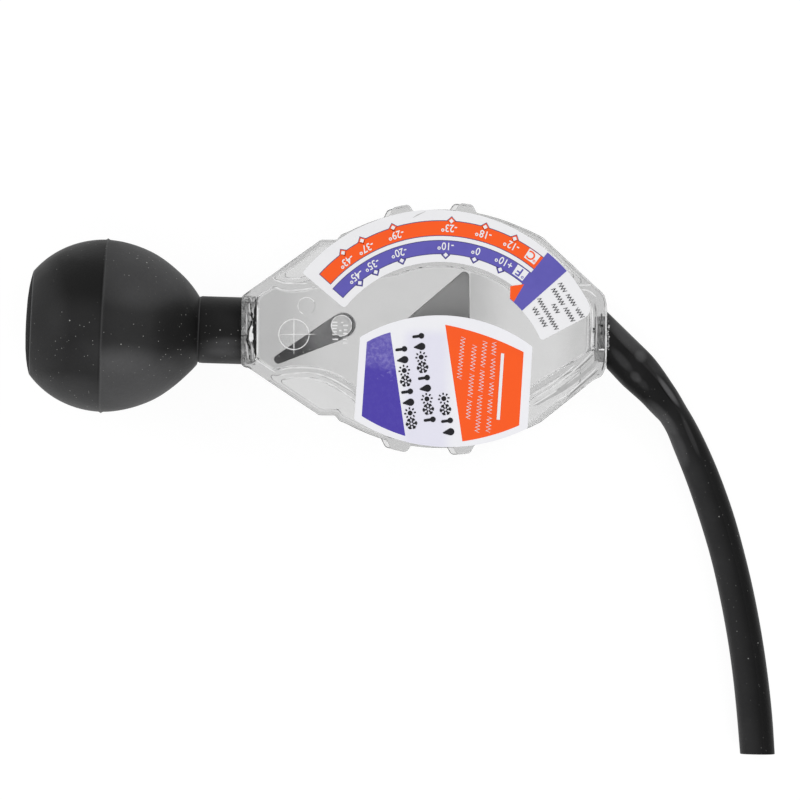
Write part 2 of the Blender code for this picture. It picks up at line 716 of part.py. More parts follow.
def build():
    clear_scene()
    tester = bpy.data.objects.new("tester", None)
    bpy.context.scene.collection.objects.link(tester)
    rubber = material("black_rubber", (0.025, 0.025, 0.026), 0.6)
    hose_rubber = material("hose_rubber", (0.018, 0.018, 0.02), 0.5)
    clear = material("clear_plastic", (0.85, 0.86, 0.86), 0.12, alpha=0.35)
    glue = material("clear_glue", (0.75, 0.75, 0.74), 0.35, alpha=0.6)
    paper = material("label_white", (0.87, 0.87, 0.9), 0.45)
    grey = material("grey_plastic", (0.21, 0.21, 0.21), 0.5)
    dark = material("dark_plastic", (0.06, 0.06, 0.065), 0.45)
    steel = material("steel", (0.6, 0.6, 0.6), 0.3, 1.0)
    brass = material("brass", (0.7, 0.55, 0.25), 0.35, 1.0)

    bulb = squeeze_bulb(rubber, tester)
    rear = shell("rear_shell", REAR, clear, tester)
    pieces = [
        bulb,
        rear,
        shell("front_cover", FRONT, clear, tester),
        bulb_seal(glue, tester),
        hose_seal(glue, tester),
        pin("pointer_pin", 0, steel, tester),
        pin("level_pin", 1, steel, tester),
        float_pointer(grey, tester),
        pointer_weight(brass, tester),
        level_indicator(dark, tester),
        scale_label(paper, tester),
        name_label(paper, tester),
    ]
    tilt = settle(tester, bulb, rear, pieces)
    line = hose_line(tester, tilt)
    hose(line, hose_rubber)
    length = np.linalg.norm(np.diff(line, axis=0), axis=1).sum()
    print(f"tilt {math.degrees(tilt):.3f} degrees, hose {length / MM:.1f} mm long")


build()
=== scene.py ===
# %% [markdown]
# # A dial antifreeze tester, dressed for its picture
# The tester has a rubber squeeze bulb at one end, a flat clear body with two printed labels in the
# middle, and a rubber hose at the other end. Its measured solids come in as a fixed frame. This
# lesson gives each of them the surface of the real thing: moulded rubber, welded clear plastic,
# cracked glue and printed film.

# %% Load the measured frame
import json
import math

import bmesh
import bpy
import numpy as np
from mathutils import Matrix, Vector

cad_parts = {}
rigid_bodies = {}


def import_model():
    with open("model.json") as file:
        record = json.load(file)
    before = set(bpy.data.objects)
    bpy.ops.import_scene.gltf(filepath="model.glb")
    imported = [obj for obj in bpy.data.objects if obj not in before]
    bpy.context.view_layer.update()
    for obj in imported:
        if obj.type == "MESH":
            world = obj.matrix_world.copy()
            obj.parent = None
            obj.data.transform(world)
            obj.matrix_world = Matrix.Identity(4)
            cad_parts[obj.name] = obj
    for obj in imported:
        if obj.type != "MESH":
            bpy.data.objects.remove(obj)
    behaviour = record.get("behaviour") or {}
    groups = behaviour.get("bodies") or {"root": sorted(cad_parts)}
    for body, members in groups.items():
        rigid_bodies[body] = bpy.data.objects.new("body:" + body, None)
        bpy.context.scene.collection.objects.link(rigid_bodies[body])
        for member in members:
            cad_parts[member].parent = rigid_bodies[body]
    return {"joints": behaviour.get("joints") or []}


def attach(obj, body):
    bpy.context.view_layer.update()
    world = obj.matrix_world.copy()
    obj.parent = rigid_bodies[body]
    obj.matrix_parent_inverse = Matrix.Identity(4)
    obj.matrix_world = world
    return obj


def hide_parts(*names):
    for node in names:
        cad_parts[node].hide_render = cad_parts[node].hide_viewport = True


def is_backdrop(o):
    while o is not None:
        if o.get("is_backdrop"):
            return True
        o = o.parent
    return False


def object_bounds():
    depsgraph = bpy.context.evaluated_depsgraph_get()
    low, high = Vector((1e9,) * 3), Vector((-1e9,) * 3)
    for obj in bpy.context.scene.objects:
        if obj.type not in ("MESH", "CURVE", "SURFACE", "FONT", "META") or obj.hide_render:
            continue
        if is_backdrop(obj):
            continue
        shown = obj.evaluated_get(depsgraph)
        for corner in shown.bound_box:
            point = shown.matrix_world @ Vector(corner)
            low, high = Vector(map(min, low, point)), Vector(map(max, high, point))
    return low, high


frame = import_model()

cad_low, cad_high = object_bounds()
print("frame", [round(v * 1000, 1) for v in cad_high - cad_low], "mm")

# %% [markdown]
# ## The tester's own axes
# The tester lies a little tilted, because its bulb is thicker than its body. All its pieces are
# easier to draw in its own axes: X along the body, Y across it, Z out of the dial, in millimetres
# from the middle of the body. The pointer's hinge says where those axes are in the world, so the
# matrix TESTER turns millimetres of the tester into metres of the world.

# %% The tester's placement
MM = 0.001
DIAL = np.array((4.65, -16.35))   # the pointer's pivot
LEVEL = np.array((-24.6, 0.8))    # the level indicator's pivot

hinge = next(joint for joint in frame["joints"] if joint["name"] == "pointer_swing")
out_of_dial = Vector(hinge["axis"]).normalized()
across = Vector((0, 1, 0))
along = across.cross(out_of_dial)
turn = Matrix((along, across, out_of_dial)).transposed()
middle = Vector(hinge["pos_m"]) - turn @ Vector((*DIAL * MM, 0))
TESTER = Matrix.Translation(middle) @ turn.to_4x4() @ Matrix.Scale(MM, 4)
TILT = out_of_dial.angle(Vector((0, 0, 1)))
print("tilt", round(math.degrees(TILT), 2), "degrees")


# %% [markdown]
# ## The camera
# The photograph looks square onto the dial. It shows 0.3 mm of the tester in each pixel, and the
# tester lies turned in it by half a degree. A long lens two and a half metres away gives the same flat
# view. The function below turns a pixel of the photograph into a place on the tester, at any height
# over the middle of its body, so that printed marks can be put where the photograph has them.

# %% Camera
PIXEL = 0.3            # millimetres of the tester per pixel, at the middle of its body
PICTURE = 800          # pixels along each side
DISTANCE = 2500.0      # millimetres from the camera to the middle of the body
SENSOR = 36            # width of the camera's sensor in millimetres
ROLL = math.radians(0.57)
LOOKS_AT = np.array((-7.288, -21.405))


def heading_at(angle):
    """The unit vector at an angle in radians."""
    return np.array((math.cos(angle), math.sin(angle)))


def left_of(way):
    """A way in the tester's plane, turned a quarter to its left."""
    return np.array((-way[1], way[0]))


right = heading_at(ROLL)
upward = left_of(right)


def at_pixel(px, py, height=0.0):
    """The place on the tester, in millimetres, that a pixel shows at a height over its mid-plane."""
    u, v = (px - PICTURE / 2) * PIXEL, (PICTURE / 2 - py) * PIXEL
    return LOOKS_AT + (right * u + upward * v) * (1 - height / DISTANCE)


def linked(name, data):
    """A new object in the scene's collection."""
    made = bpy.data.objects.new(name, data)
    bpy.context.scene.collection.objects.link(made)
    return made


camera = linked("camera", bpy.data.cameras.new("camera"))
bpy.context.scene.camera = camera
rolled = Matrix.Rotation(ROLL, 4, "Z")
stand = Matrix.Translation((*LOOKS_AT * MM, DISTANCE * MM))
camera.matrix_world = Matrix.Translation(middle) @ turn.to_4x4() @ stand @ rolled
camera.data.sensor_width = SENSOR
camera.data.lens = SENSOR * DISTANCE / (PICTURE * PIXEL)
camera.data.clip_end = 10
print("lens", round(camera.data.lens), "mm")


# %% [markdown]
# ## Helpers for meshes
# Most pieces here are lofts: rings of equally many points, joined ring to ring, with a cap on each
# end. A helper makes the object, shades it smooth except at real corners, moves its mesh from the
# tester's millimetres to the world, and lets it ride on its body.

# %% Mesh helpers
def lofted(rings, closed_ends=True):
    """Rings of equally many points, joined ring to ring."""
    shape = bmesh.new()
    loops = [[shape.verts.new(point) for point in ring] for ring in rings]
    for low, high in zip(loops, loops[1:]):
        for here in range(len(low)):
            after = (here + 1) % len(low)
            shape.faces.new((low[here], low[after], high[after], high[here]))
    if closed_ends:
        shape.faces.new(loops[0])
        shape.faces.new(loops[-1])
    bmesh.ops.recalc_face_normals(shape, faces=shape.faces)
    return shape


def to_mesh(name, shape):
    mesh = bpy.data.meshes.new(name)
    shape.to_mesh(mesh)
    shape.free()
    return mesh


def level_ring(outline, z):
    return [(x, y, z) for x, y in outline]


def prism(outline, low, high):
    return lofted([level_ring(outline, low), level_ring(outline, high)])


def keep_flats(mesh):
    """Sharpens the edges where a face square to the dial meets a round, so that it shades flat."""
    shape = bmesh.new()
    shape.from_mesh(mesh)
    flat = {face: abs(face.normal.dot(out_of_dial)) > 0.9999 for face in shape.faces}
    for edge in shape.edges:
        if len({flat[face] for face in edge.link_faces}) == 2:
            edge.smooth = False
    shape.to_mesh(mesh)
    shape.free()


def piece(name, mesh, finish, body="tester", sharp_from=32, place=TESTER, flats=False):
    """A finished piece: its mesh goes to its place in the world and it rides on its body.

    With flats, its faces square to the dial keep their flat shading right up to the rounds.
    """
    if isinstance(mesh, bmesh.types.BMesh):
        mesh = to_mesh(name, mesh)
    mesh.transform(place)
    mesh.shade_smooth()
    mesh.set_sharp_from_angle(angle=math.radians(sharp_from))
    if flats:
        keep_flats(mesh)
    mesh.materials.clear()
    mesh.materials.append(finish)
    made = linked(name, mesh)
    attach(made, body)
    print(name, len(mesh.polygons), "faces")
    return made


def smooth_through(points, per_span):
    """A Catmull-Rom curve through points, with per_span steps between each pair."""
    points = np.array(points, dtype=float)
    ends = np.vstack((2 * points[0] - points[1], points, 2 * points[-1] - points[-2]))
    made = []
    for a, b, c, d in zip(ends, ends[1:], ends[2:], ends[3:]):
        for t in np.linspace(0, 1, per_span, endpoint=False):
            made.append(
                b + t * (c - a) / 2 + t**2 * (a - 5 * b / 2 + 2 * c - d / 2)
                + t**3 * (3 * b / 2 - a / 2 - 3 * c / 2 + d / 2)
            )
    made.append(points[-1])
    return np.array(made)


def arc(centre, radius, start, end, steps):
    """Points on an arc, with its angles in degrees."""
    turns = np.radians(np.linspace(start, end, steps + 1))
    return [(centre[0] + radius * math.cos(a), centre[1] + radius * math.sin(a)) for a in turns]


def on_arc(centre, radius, angle):
    """The point at one angle of an arc."""
    return arc(centre, radius, angle, angle, 1)[0]


def circle(centre, radius, sides=48):
    return arc(centre, radius, 0, 360, sides)[:-1]


# %% [markdown]
# ## Shader maths as Python
# A material is a tree of small nodes. Long sums are hard to read as nodes, so a small class wraps a
# socket and lets Python's own operators add the Math nodes. Colours are mixed with Mix nodes,
# vectors with Vector Math, and everything else goes through one method, add.

# %% Shader helpers
class Reading:
    """A socket of a material's tree that can stand in a Python expression."""

    def __init__(self, finish, socket):
        self.finish, self.socket = finish, socket

    def maths(self, operation, other=0.0, swap=False):
        pair = {0: other, 1: self} if swap else {0: self, 1: other}
        return self.finish.add("Math", {"operation": operation}, pair)

    def __add__(self, other):
        return self.maths("ADD", other)

    def __sub__(self, other):
        return self.maths("SUBTRACT", other)

    def __rsub__(self, other):
        return self.maths("SUBTRACT", other, swap=True)

    def __mul__(self, other):
        return self.maths("MULTIPLY", other)

    def __truediv__(self, other):
        return self.maths("DIVIDE", other)

    def __pow__(self, other):
        return self.maths("POWER", other)

    def __gt__(self, other):
        return self.maths("GREATER_THAN", other)

    def absolute(self):
        return self.maths("ABSOLUTE")

    def band(self, low, high):
        """Rises smoothly from 0 at low to 1 at high; falls if high is under low."""
        settings = {"interpolation_type": "SMOOTHSTEP", "clamp": True}
        sockets = {"Value": self, "From Min": min(low, high), "From Max": max(low, high)}
        sockets |= {"To Min": 0.0, "To Max": 1.0} if low < high else {"To Min": 1.0, "To Max": 0.0}
        return self.finish.add("MapRange", settings, sockets)


class Finish:
    """A material whose nodes are added by expressions."""

    def __init__(self, name):
        self.material = bpy.data.materials.new(name)
        self.material.use_nodes = True
        self.tree = self.material.node_tree
        self.shader = self.tree.nodes["Principled BSDF"]

    def add(self, kind, settings=None, sockets=None, output=0):
        node = self.tree.nodes.new("ShaderNode" + kind)
        for name, value in (settings or {}).items():
            setattr(node, name, value)
        for name, value in (sockets or {}).items():
            self.join(value, node.inputs[name])
        return Reading(self, node.outputs[output])

    def join(self, value, socket):
        if isinstance(value, Reading):
            self.tree.links.new(value.socket, socket)
        else:
            socket.default_value = value

    def place(self):
        """Where a point of the piece is, in metres of the world at rest."""
        return self.add("TexCoord", output="Object")

    def stretched(self, by):
        """The place with its X, Y and Z multiplied: noise read there runs in streaks."""
        return self.vector("MULTIPLY", self.place(), by)

    def on_tester(self):
        """The point's X, Y and Z in the tester's own millimetres, as three readings."""
        moved = self.vector("SUBTRACT", self.place(), tuple(middle))
        return [self.dot(moved, tuple(axis / MM)) for axis in (along, across, out_of_dial)]

    def vector(self, operation, a, b):
        return self.add("VectorMath", {"operation": operation}, {0: a, 1: b})

    def dot(self, a, b):
        return self.add("VectorMath", {"operation": "DOT_PRODUCT"}, {0: a, 1: b}, "Value")

    def noise(self, scale, detail=2.0, roughness=0.5, at=None, distortion=0.0):
        """Soft noise with that many bumps per metre."""
        sockets = {"Vector": at or self.place(), "Scale": scale, "Detail": detail}
        sockets |= {"Roughness": roughness, "Distortion": distortion}
        return self.add("TexNoise", {}, sockets)

    def cells(self, scale, output="Distance", feature="F1", at=None):
        """Distance to the nearest seed of a field of cells, or the cell's random colour."""
        sockets = {"Vector": at or self.place(), "Scale": scale}
        return self.add("TexVoronoi", {"feature": feature}, sockets, output)

    def specks(self, scale, far, near, above):
        """Dots at the seeds of a field of cells, in the cells whose random number is high."""
        chosen = self.dot(self.cells(scale, "Color"), (1, 0, 0)) > above
        return self.cells(scale).band(far, near) * chosen

    def mix(self, share, low, high):
        """One colour or the other, by share."""
        sockets = {0: share, 6: self.colour(low), 7: self.colour(high)}
        return self.add("Mix", {"data_type": "RGBA"}, sockets, 2)

    @staticmethod
    def colour(value):
        return (*value, 1.0) if isinstance(value, tuple) and len(value) == 3 else value

    def bump(self, height, distance):
        sockets = {"Height": height, "Distance": distance, "Strength": 1.0}
        self.join(self.add("Bump", {}, sockets), self.shader.inputs["Normal"])

    def done(self, colour, roughness, height, distance, **sockets):
        """Sets what every finish has, its grain included, and gives back the material."""
        self.set(Base_Color=colour, Roughness=roughness, **sockets).bump(height, distance)
        return self.material

    def set(self, **sockets):
        for name, value in sockets.items():
            self.join(self.colour(value), self.shader.inputs[name.replace("_", " ")])
        return self


def seen_as(red, green, blue):
    """The linear colour that shows as these 0 to 255 values on a screen, by the sRGB curve."""
    return tuple((v / 255 / 12.92) if v < 10.3 else ((v / 255 + 0.055) / 1.055) ** 2.4
                 for v in (red, green, blue))


def grey_as(tone):
    return seen_as(tone, tone, tone)


# %% [markdown]
# ## The stage
# The photograph has a pure white ground. The floor here is pale and takes the tester's soft shadow,
# but it shows plain white where the camera, a reflection or the clear plastic looks straight at it,
# so that no extra light is needed on the tester.

# %% Floor, world and lamps
WHITE_LEVEL, WHITE_SHARE = 1.067, 0.86    # the white that is seen, and its part over the shaded floor
FLOOR_REACH, FLOOR_TONE = 3, 0.9
SKY_STRENGTH = 0.52


def white_where_seen(finish):
    """Makes a floor that is lit as a floor but seen mostly as white paper, with a faint shadow."""
    seen = finish.add("LightPath", output="Is Camera Ray")
    rays = seen.socket.node.outputs
    for name in ("Is Glossy Ray", "Is Transmission Ray"):
        seen = seen.maths("MAXIMUM", Reading(finish, rays[name]))
    white = (WHITE_LEVEL, WHITE_LEVEL, WHITE_LEVEL, 1)
    glow = finish.add("Emission", {}, {"Color": white, "Strength": 1.0})
    lit = Reading(finish, finish.shader.outputs[0])
    shown = finish.add("MixShader", {}, {0: seen * WHITE_SHARE, 1: lit, 2: glow})
    finish.join(shown, finish.tree.nodes["Material Output"].inputs["Surface"])


floor_finish = Finish("floor").set(Base_Color=(FLOOR_TONE,) * 3, Roughness=0.9)
white_where_seen(floor_finish)
floor_mesh = bpy.data.meshes.new("floor")
floor_corners = [(x * FLOOR_REACH, y * FLOOR_REACH, 0) for x, y in ((-1, -1), (1, -1), (1, 1), (-1, 1))]
floor_mesh.from_pydata(floor_corners, [], [(0, 1, 2, 3)])
floor_mesh.materials.append(floor_finish.material)
floor = linked("floor", floor_mesh)
floor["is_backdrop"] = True

world = bpy.data.worlds.new("studio")
world.use_nodes = True
bpy.context.scene.world = world
sky = world.node_tree.nodes["Background"]
sky.inputs["Color"].default_value = (1, 1, 1, 1)
sky.inputs["Strength"].default_value = SKY_STRENGTH

LAMPS = {  # place in metres, size in metres, power in watts
    "softbox_right": ((0.8, 0.6, 0.75), 0.7, 4.8),
    "softbox_front": ((0.5, -0.8, 0.7), 0.7, 4.4),
    "softbox_left": ((-0.9, 0.5, 0.8), 0.7, 3.0),
}
for name, (place, size, power) in LAMPS.items():
    lamp = linked(name, bpy.data.lights.new(name, "AREA"))
    lamp.data.size, lamp.data.energy = size, power
    lamp.location = place
    lamp.rotation_euler = (-Vector(place)).to_track_quat("-Z", "Y").to_euler()
bpy.context.scene.view_settings.view_transform = "Standard"
print(len(LAMPS), "lamps")

# %% [markdown]
# ## Black rubber
# The bulb and the hose are matt black rubber. Its colour carries painted light: paler zones and lines are
# painted highlights, darker ones painted shade, and specks of dust stick to it. A soft spot is an oval at a
# place of the photograph that fades to its edge: spots build the painted highlights and shade.
# The dust is the seeds of a field of cells, kept only in the cells whose random number is high.

# %% Rubber finishes
def soft_spot(x, y, at, size, level, turn=0, height=15):
    """A reading that is level inside an oval and fades to 0 at its edge.

    The oval lies at a pixel, has its size in pixels and is turned by degrees.
    """
    here = at_pixel(*at, height)
    out_x, out_y = x - float(here[0]), y - float(here[1])
    c, s = heading_at(math.radians(turn)).tolist()
    long_way = (out_x * c + out_y * s) / (size[0] * PIXEL)
    short_way = (out_y * c - out_x * s) / (size[1] * PIXEL)
    return (long_way**2 + short_way**2).band(1, 0) * level


def dusty(finish, dark, amount):
    """Adds small and larger specks of pale dust over a dark colour."""
    small = finish.specks(700, 0.15, 0.06, 0.3)
    large = finish.specks(330, 0.09, 0.04, 0.7)
    clusters = finish.noise(45, 1).band(0.38, 0.6)
    dust = (small * 0.6 + large) * (clusters + 0.12) * amount
    return finish.mix(dust.band(0.0, 1.0), dark, seen_as(165, 165, 162))


def rubber(name, zones, lines, dust, shine, roughness, matt=None):
    """Black rubber: zones and lines give its painted highlights and shade at the tester's x, y, z, and matt
    its matt places.
    """
    finish = Finish(name)
    x, y, z = finish.on_tester()
    patches = finish.noise(55, 3, 0.6).band(0.42, 0.7)
    fine = finish.noise(900, 2, 0.6)
    # painted light: zones and lines paint highlights and shade into the rubber's colour
    painted_light = zones(finish, x, y, z) * (patches * 0.25 + fine * 0.2 + 0.78) + lines(x, y, z)
    dark = finish.mix(painted_light, (0.001, 0.001, 0.001), (0.08, 0.08, 0.082))
    rough = patches * 0.08 + roughness
    if matt:
        rough = (rough + matt(x, y, z)).band(0, 1)
    grain = fine + finish.noise(2600, 1) * 0.5
    return finish.done(dusty(finish, dark, dust), rough, grain, 0.00006, Specular_IOR_Level=shine)

# %% [markdown]
# ## The hose
# The photograph shows the hose from end to end, so what it shows is its length: about 140 mm. It
# leaves the mouth at a slant, is pressed flat there, folds softly after some 25 mm and comes to rest
# on the table. Its two edges are given by pairs of pixels, and a ring is drawn between each pair.
# The hose is a mesh tube of such rings, with a real bore at its cut end. Its height comes from the
# same rule as the measured solid: it glides down from the mouth to the table.

# %% Hose edges and rings
HOSE_RADIUS = 5.6
HOSE_DROP = 2.6                 # the mouth's middle lies this far below the tester's X axis
MOUTH_X = 54.5
SEAT_X = MOUTH_X - 3.3          # where the hose ends, inside the mouth
HOSE_SETTLES = 75.0             # it comes down to the table over this length
HOSE_STARTS = 8.0               # length of the hose before the first pair of edges
HOSE_EDGES = (  # right edge x, y and left edge x, y in pixels, half height in mm, depth of the fold
    (640, 343.7, 611, 373, 5.3, 0.6),
    (649, 352.5, 621.5, 384.2, 5.2, 1.0),
    (655.7, 360, 630.5, 392.4, 5.2, 1.3),
    (662.6, 369.2, 641, 401.8, 5.3, 1.3),
    (671, 381.5, 650, 411.2, 5.4, 1.0),
    (678.5, 393, 655, 416.3, 5.5, 0.6),
    (686, 406, 660.5, 422, 5.6, 0.3),
    (694.5, 420.5, 667, 433, 5.6, 0.2),
    (704.5, 440, 673.7, 449.5, 5.6, 0.15),
    (718, 470.5, 686, 480.5, 5.6, 0.12),
    (732.7, 511, 699.5, 520, 5.6, 0.1),
    (744.3, 552, 711, 559, 5.6, 0.1),
    (754, 593, 720, 598.5, 5.6, 0.1),
    (761.9, 635, 727.5, 639, 5.6, 0.1),
    (767.8, 675, 733, 678, 5.6, 0.1),
    (772.2, 715, 737, 717, 5.6, 0.1),
    (774.8, 753.8, 740, 753.2, 5.6, 0.1),
)
WRAP = 44                       # points round a ring of the hose
OVAL_POWER = 0.92               # under 1, so that an oval is a little squarer than an ellipse
CREST_RISE, CREST_AT, CREST_SPAN = 0.05, 0.42, 0.12     # the ridge beside the dent of the fold
DENT_AT, DENT_SPAN = -0.05, 0.4


def world_plan(px, py, height):
    """A pixel's place on the level plane at a world height, in metres."""
    eye = camera.matrix_world.translation
    aim = TESTER @ Vector((*at_pixel(px, py), 0.0))
    share = (height - eye.z) / (aim.z - eye.z)
    return np.array(eye.lerp(aim, share))


def in_world(x, y):
    """A place on the tester's mid-plane, in metres of the world."""
    return np.array(TESTER @ Vector((x, y, 0)))


def hose_height(run):
    """Height of the centre line after a run in metres from its start: a smooth glide to the table."""
    rest, settles = (HOSE_RADIUS + 0.05) * MM, HOSE_SETTLES * MM
    start = in_world(SEAT_X, -HOSE_DROP)[2]
    t = min(run / settles, 1.0)
    fall = 2 * t**3 - 3 * t**2 + 1
    glide = (t**3 - 2 * t**2 + t) * settles * -math.tan(TILT)
    return rest + (start - rest) * fall + glide


def hose_stations():
    """Right edge, left edge, half height and fold for each station, in metres of the world."""
    stations = []
    run, before = HOSE_STARTS * MM, None
    for rx, ry, lx, ly, half, fold in HOSE_EDGES:
        height = hose_height(run)
        if before is not None:
            here = (world_plan(rx, ry, height) + world_plan(lx, ly, height)) / 2
            run += np.linalg.norm(here - before)
            height = hose_height(run)
        right_edge, left_edge = world_plan(rx, ry, height), world_plan(lx, ly, height)
        before = (right_edge + left_edge) / 2
        stations.append([*right_edge, *left_edge, half * MM, fold * MM])
    return stations


def oval(right_edge, left_edge, half, fold, out, shrink=1.0):
    """A ring between the two edges, with a ridge along its right side and a dent along its top."""
    centre = (right_edge + left_edge) / 2
    side = (right_edge - left_edge) / 2
    up = np.cross(side / np.linalg.norm(side), out)
    up *= math.copysign(1, up[2]) / np.linalg.norm(up)
    ring = []
    for turn_by in np.linspace(0, 2 * math.pi, WRAP, endpoint=False):
        c, s = math.cos(turn_by), math.sin(turn_by)
        height = half * math.copysign(abs(s) ** OVAL_POWER, s)
        if s > 0:
            height += CREST_RISE * half * math.exp(-((c - CREST_AT) / CREST_SPAN) ** 2)
            height -= fold * math.exp(-((c - DENT_AT) / DENT_SPAN) ** 2)
        ring.append(centre + (side * c + up * height) * shrink)
    return ring


outward = np.array(along)


def round_station(x, radius):
    """A round station inside the mouth, square to the body."""
    centre, side = in_world(x, -HOSE_DROP), np.array(across) * radius * MM
    return [*(centre + side), *(centre - side), radius * MM, 0.0]


inner_rings = [round_station(SEAT_X, 5.3), round_station(MOUTH_X - 0.2, 5.5)]
FACE_X, FACE_TOP, FACE_LOW = MOUTH_X + 0.1, 5.7, -11.3      # the hose is pressed flat where it comes out
face = [*in_world(FACE_X, FACE_TOP), *in_world(FACE_X, FACE_LOW), HOSE_RADIUS * MM, 0.2 * MM]
stations = hose_stations()
between = (np.array(face) + np.array(stations[0])) / 2
rows = inner_rings + [list(row) for row in smooth_through([face, between, *stations], 5)]
hose_path = np.array([(np.array(row[:3]) + np.array(row[3:6])) / 2 for row in rows])
CUT_RINGS = ((0.12, 0.975), (0.12, 0.66), (-0.3, 0.62), (-14, 0.6), (-15, 0.3))   # shift in mm, size


def hose_mesh():
    """The hose's rings from its seat in the mouth to the cut, then back along its bore."""
    rings = []
    ways = np.gradient(hose_path, axis=0)
    ways[:2] = outward
    for row, out in zip(rows, ways):
        out = out / np.linalg.norm(out)
        rings.append(oval(np.array(row[:3]), np.array(row[3:6]), row[6], row[7], out))
    last, out = rows[-1], ways[-1] / np.linalg.norm(ways[-1])
    for shift, shrink in CUT_RINGS:
        step = out * shift * MM
        ends = np.array(last[:3]) + step, np.array(last[3:6]) + step
        rings.append(oval(*ends, last[6], last[7], out, shrink))
    return lofted(rings)


# painted highlights on the hose's fold and left side, as soft spots
HOSE_HIGHLIGHT_SPOTS = (  # pixel, size along and across in pixels, level, turn in degrees
    ((627, 335), (34, 11), 0.55, -46), ((641, 356), (8, 7), 0.5, -45), ((622, 360), (19, 5.5), 0.38, -48),
    ((636, 377), (8, 5.5), 0.5, -45), ((643, 384), (10, 4.5), 0.22, -45), ((662, 417), (27, 8), 0.62, -47),
    ((678, 447), (26, 9), 0.5, -66), ((668.5, 391), (22, 3.4), 1.0, -54), ((691, 436), (28, 3), 0.3, -66),
    ((655, 366), (16, 5), 0.22, -52), ((618, 380), (16, 4), 0.3, -46),
)


def hose_highlights(finish, x, y, z):
    """Painted highlights: the hose is painted palest along its left side, and on the ridges of the soft fold
    by the mouth.
    """
    across_it = finish.add("Attribute", {"attribute_name": "across"}, output="Fac")
    fold = y.band(-29, -21)
    painted_light = across_it.band(0.8, -0.9) * 0.38 * (1 - fold) + across_it.band(-0.7, -0.98) * 0.25 * fold
    for at, size, level, turn in HOSE_HIGHLIGHT_SPOTS:
        painted_light = soft_spot(x, y, at, size, level, turn, 6) + painted_light
    # the fold's zone is painted a little paler all over, a painted highlight
    return painted_light + fold * 0.1 + 0.035


def hose_shade_line(x, y, z):
    """Painted shade: a thin black line left of the fold's long ridge."""
    return soft_spot(x, y, (669, 396), (22, 1.8), -0.1, -52, 6)


def with_across(mesh):
    """Each point's place across the hose: -1 at its left edge, 1 at its right edge."""
    shares = np.cos(np.linspace(0, 2 * math.pi, WRAP, endpoint=False))
    values = np.tile(shares, len(mesh.vertices) // WRAP)
    mesh.attributes.new("across", "FLOAT", "POINT").data.foreach_set("value", values)
    return mesh


HOSE_RUBBER = rubber("hose_rubber", hose_highlights, hose_shade_line, 0.5, 0.1, 0.42)
hose = piece(
    "rubber_hose", with_across(to_mesh("rubber_hose", hose_mesh())), HOSE_RUBBER,
    place=Matrix.Identity(4),
)
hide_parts("hose")
hose_length = float(np.linalg.norm(np.diff(hose_path, axis=0), axis=1).sum())
print("hose", round(hose_length / MM, 1), "mm")

# %% [markdown]
# ## Outlines of the clear body
# The body is two moulded shells welded edge to edge. Its outline, the chamber in which the pointer
# swings and the two hollow wings beside it are all plain outlines in the tester's plane. They follow
# the same rules as the measured solids, but here every corner gets the small round of the mould.

# %% Body sizes in millimetres
FRONT, REAR = 1, -1
HALF_DEPTH = 12.25
PLATE = 1.8
INNER = HALF_DEPTH - PLATE
SKIRT = 0.95                        # thickness of the outer wall
CHAMBER_WALL = {1: 2.0, -1: 1.5}    # thickness of the chamber's wall beside the upper and lower wings
WING_STEP = 1.4                     # the wings are stepped: their deep part is this much narrower
WING_SHALLOW = 6.0                  # and their wide part is this deep
WING_SPAN, WING_ROUND = (-46.0, 46.6), 1.2
WELD = 0.02                         # half the gap between the shells
BODY_LEFT = -54.9
COLLAR_MIDDLE, COLLAR_BORE = -1.0, 10.25    # the collar sits a little to one side of the body
COLLAR_CORNERS = ((-54.9, 8.9), (-54.2, 9.6), (-53.3, 10.3)), ((-54.9, -11.2), (-53.9, -12.1), (-52.6, -12.3))
SHOULDER_X, SHOULDER_HALF, SHOULDER_LAND = -31.4, 26.2, 4.8      # the square step by the bulb
BOW_X, BOW_HALF, BOW_RADIUS, BOW_END_X = 4.5, 36.0, 58.8, 34.9
BOW_DIP, DIP_PLACES = 0.4, (-25.3, -23.5, 28.0, BOW_END_X)    # between the tabs the bow is lower
NOSE_X = 50.3
NOSE = (
    (50.5, 13.3), (52.3, 11.8), (53.5, 10.5), (54.0, 8.6), (54.3, 6.2),
    (54.3, -9.4), (53.9, -11.6), (52.9, -13.7), (50.3, -15.0),
)
TAB_STARTS, TAB_LENGTHS, TAB_HEIGHT = (-12.9, 7.0), (9.0, 8.1), 1.9
TAB_SLOPE, TAB_STAGGER = 1.3, 1.7   # run of a tab's ends, and how much later the front shell's tabs start
CHAMBER_LEFT, CHAMBER_RIGHT = -50.6, 49.6
POINTER_SWEEP = 35.3                # radius of the arc that clears the pointer's tip
FLOOR_CENTRE, FLOOR_SWEEP = (5.0, 3.0), 33.0
ROOF_FROM, ROOF_TO, FLOOR_FROM, FLOOR_TO = 112, 52, -140.5, -40.3    # angles of the two arcs
THROAT_ABOVE = (
    (CHAMBER_LEFT, 9.2), (-47.3, 11.2), (-45.2, 12.2), (-43.0, 11.6), (-39.9, 11.2), (-36.4, 11.5),
    (-32.0, 12.6),
)
THROAT_BELOW = (
    (CHAMBER_LEFT, -9.4), (-47.3, -11.7), (-45.0, -12.8), (-42.6, -12.6), (-39.4, -12.1), (-35.4, -12.1),
    (-30.7, -12.7),
)
CHAMBER_END_ABOVE = [(45.4, 12.0), (CHAMBER_RIGHT, 8.6)]
CHAMBER_END_BELOW = [(CHAMBER_RIGHT, -6.4)]
CHAMBER_BEND, CHAMBER_CORNER = 1.8, 1.4
CORNER_STEPS, BLEND_STEPS, RIM_STEPS = 5, 8, 5


def bend(start, corner, end, t):
    """A point of the curve from start to end that leans toward the corner."""
    return (1 - t) ** 2 * start + 2 * t * (1 - t) * corner + t**2 * end


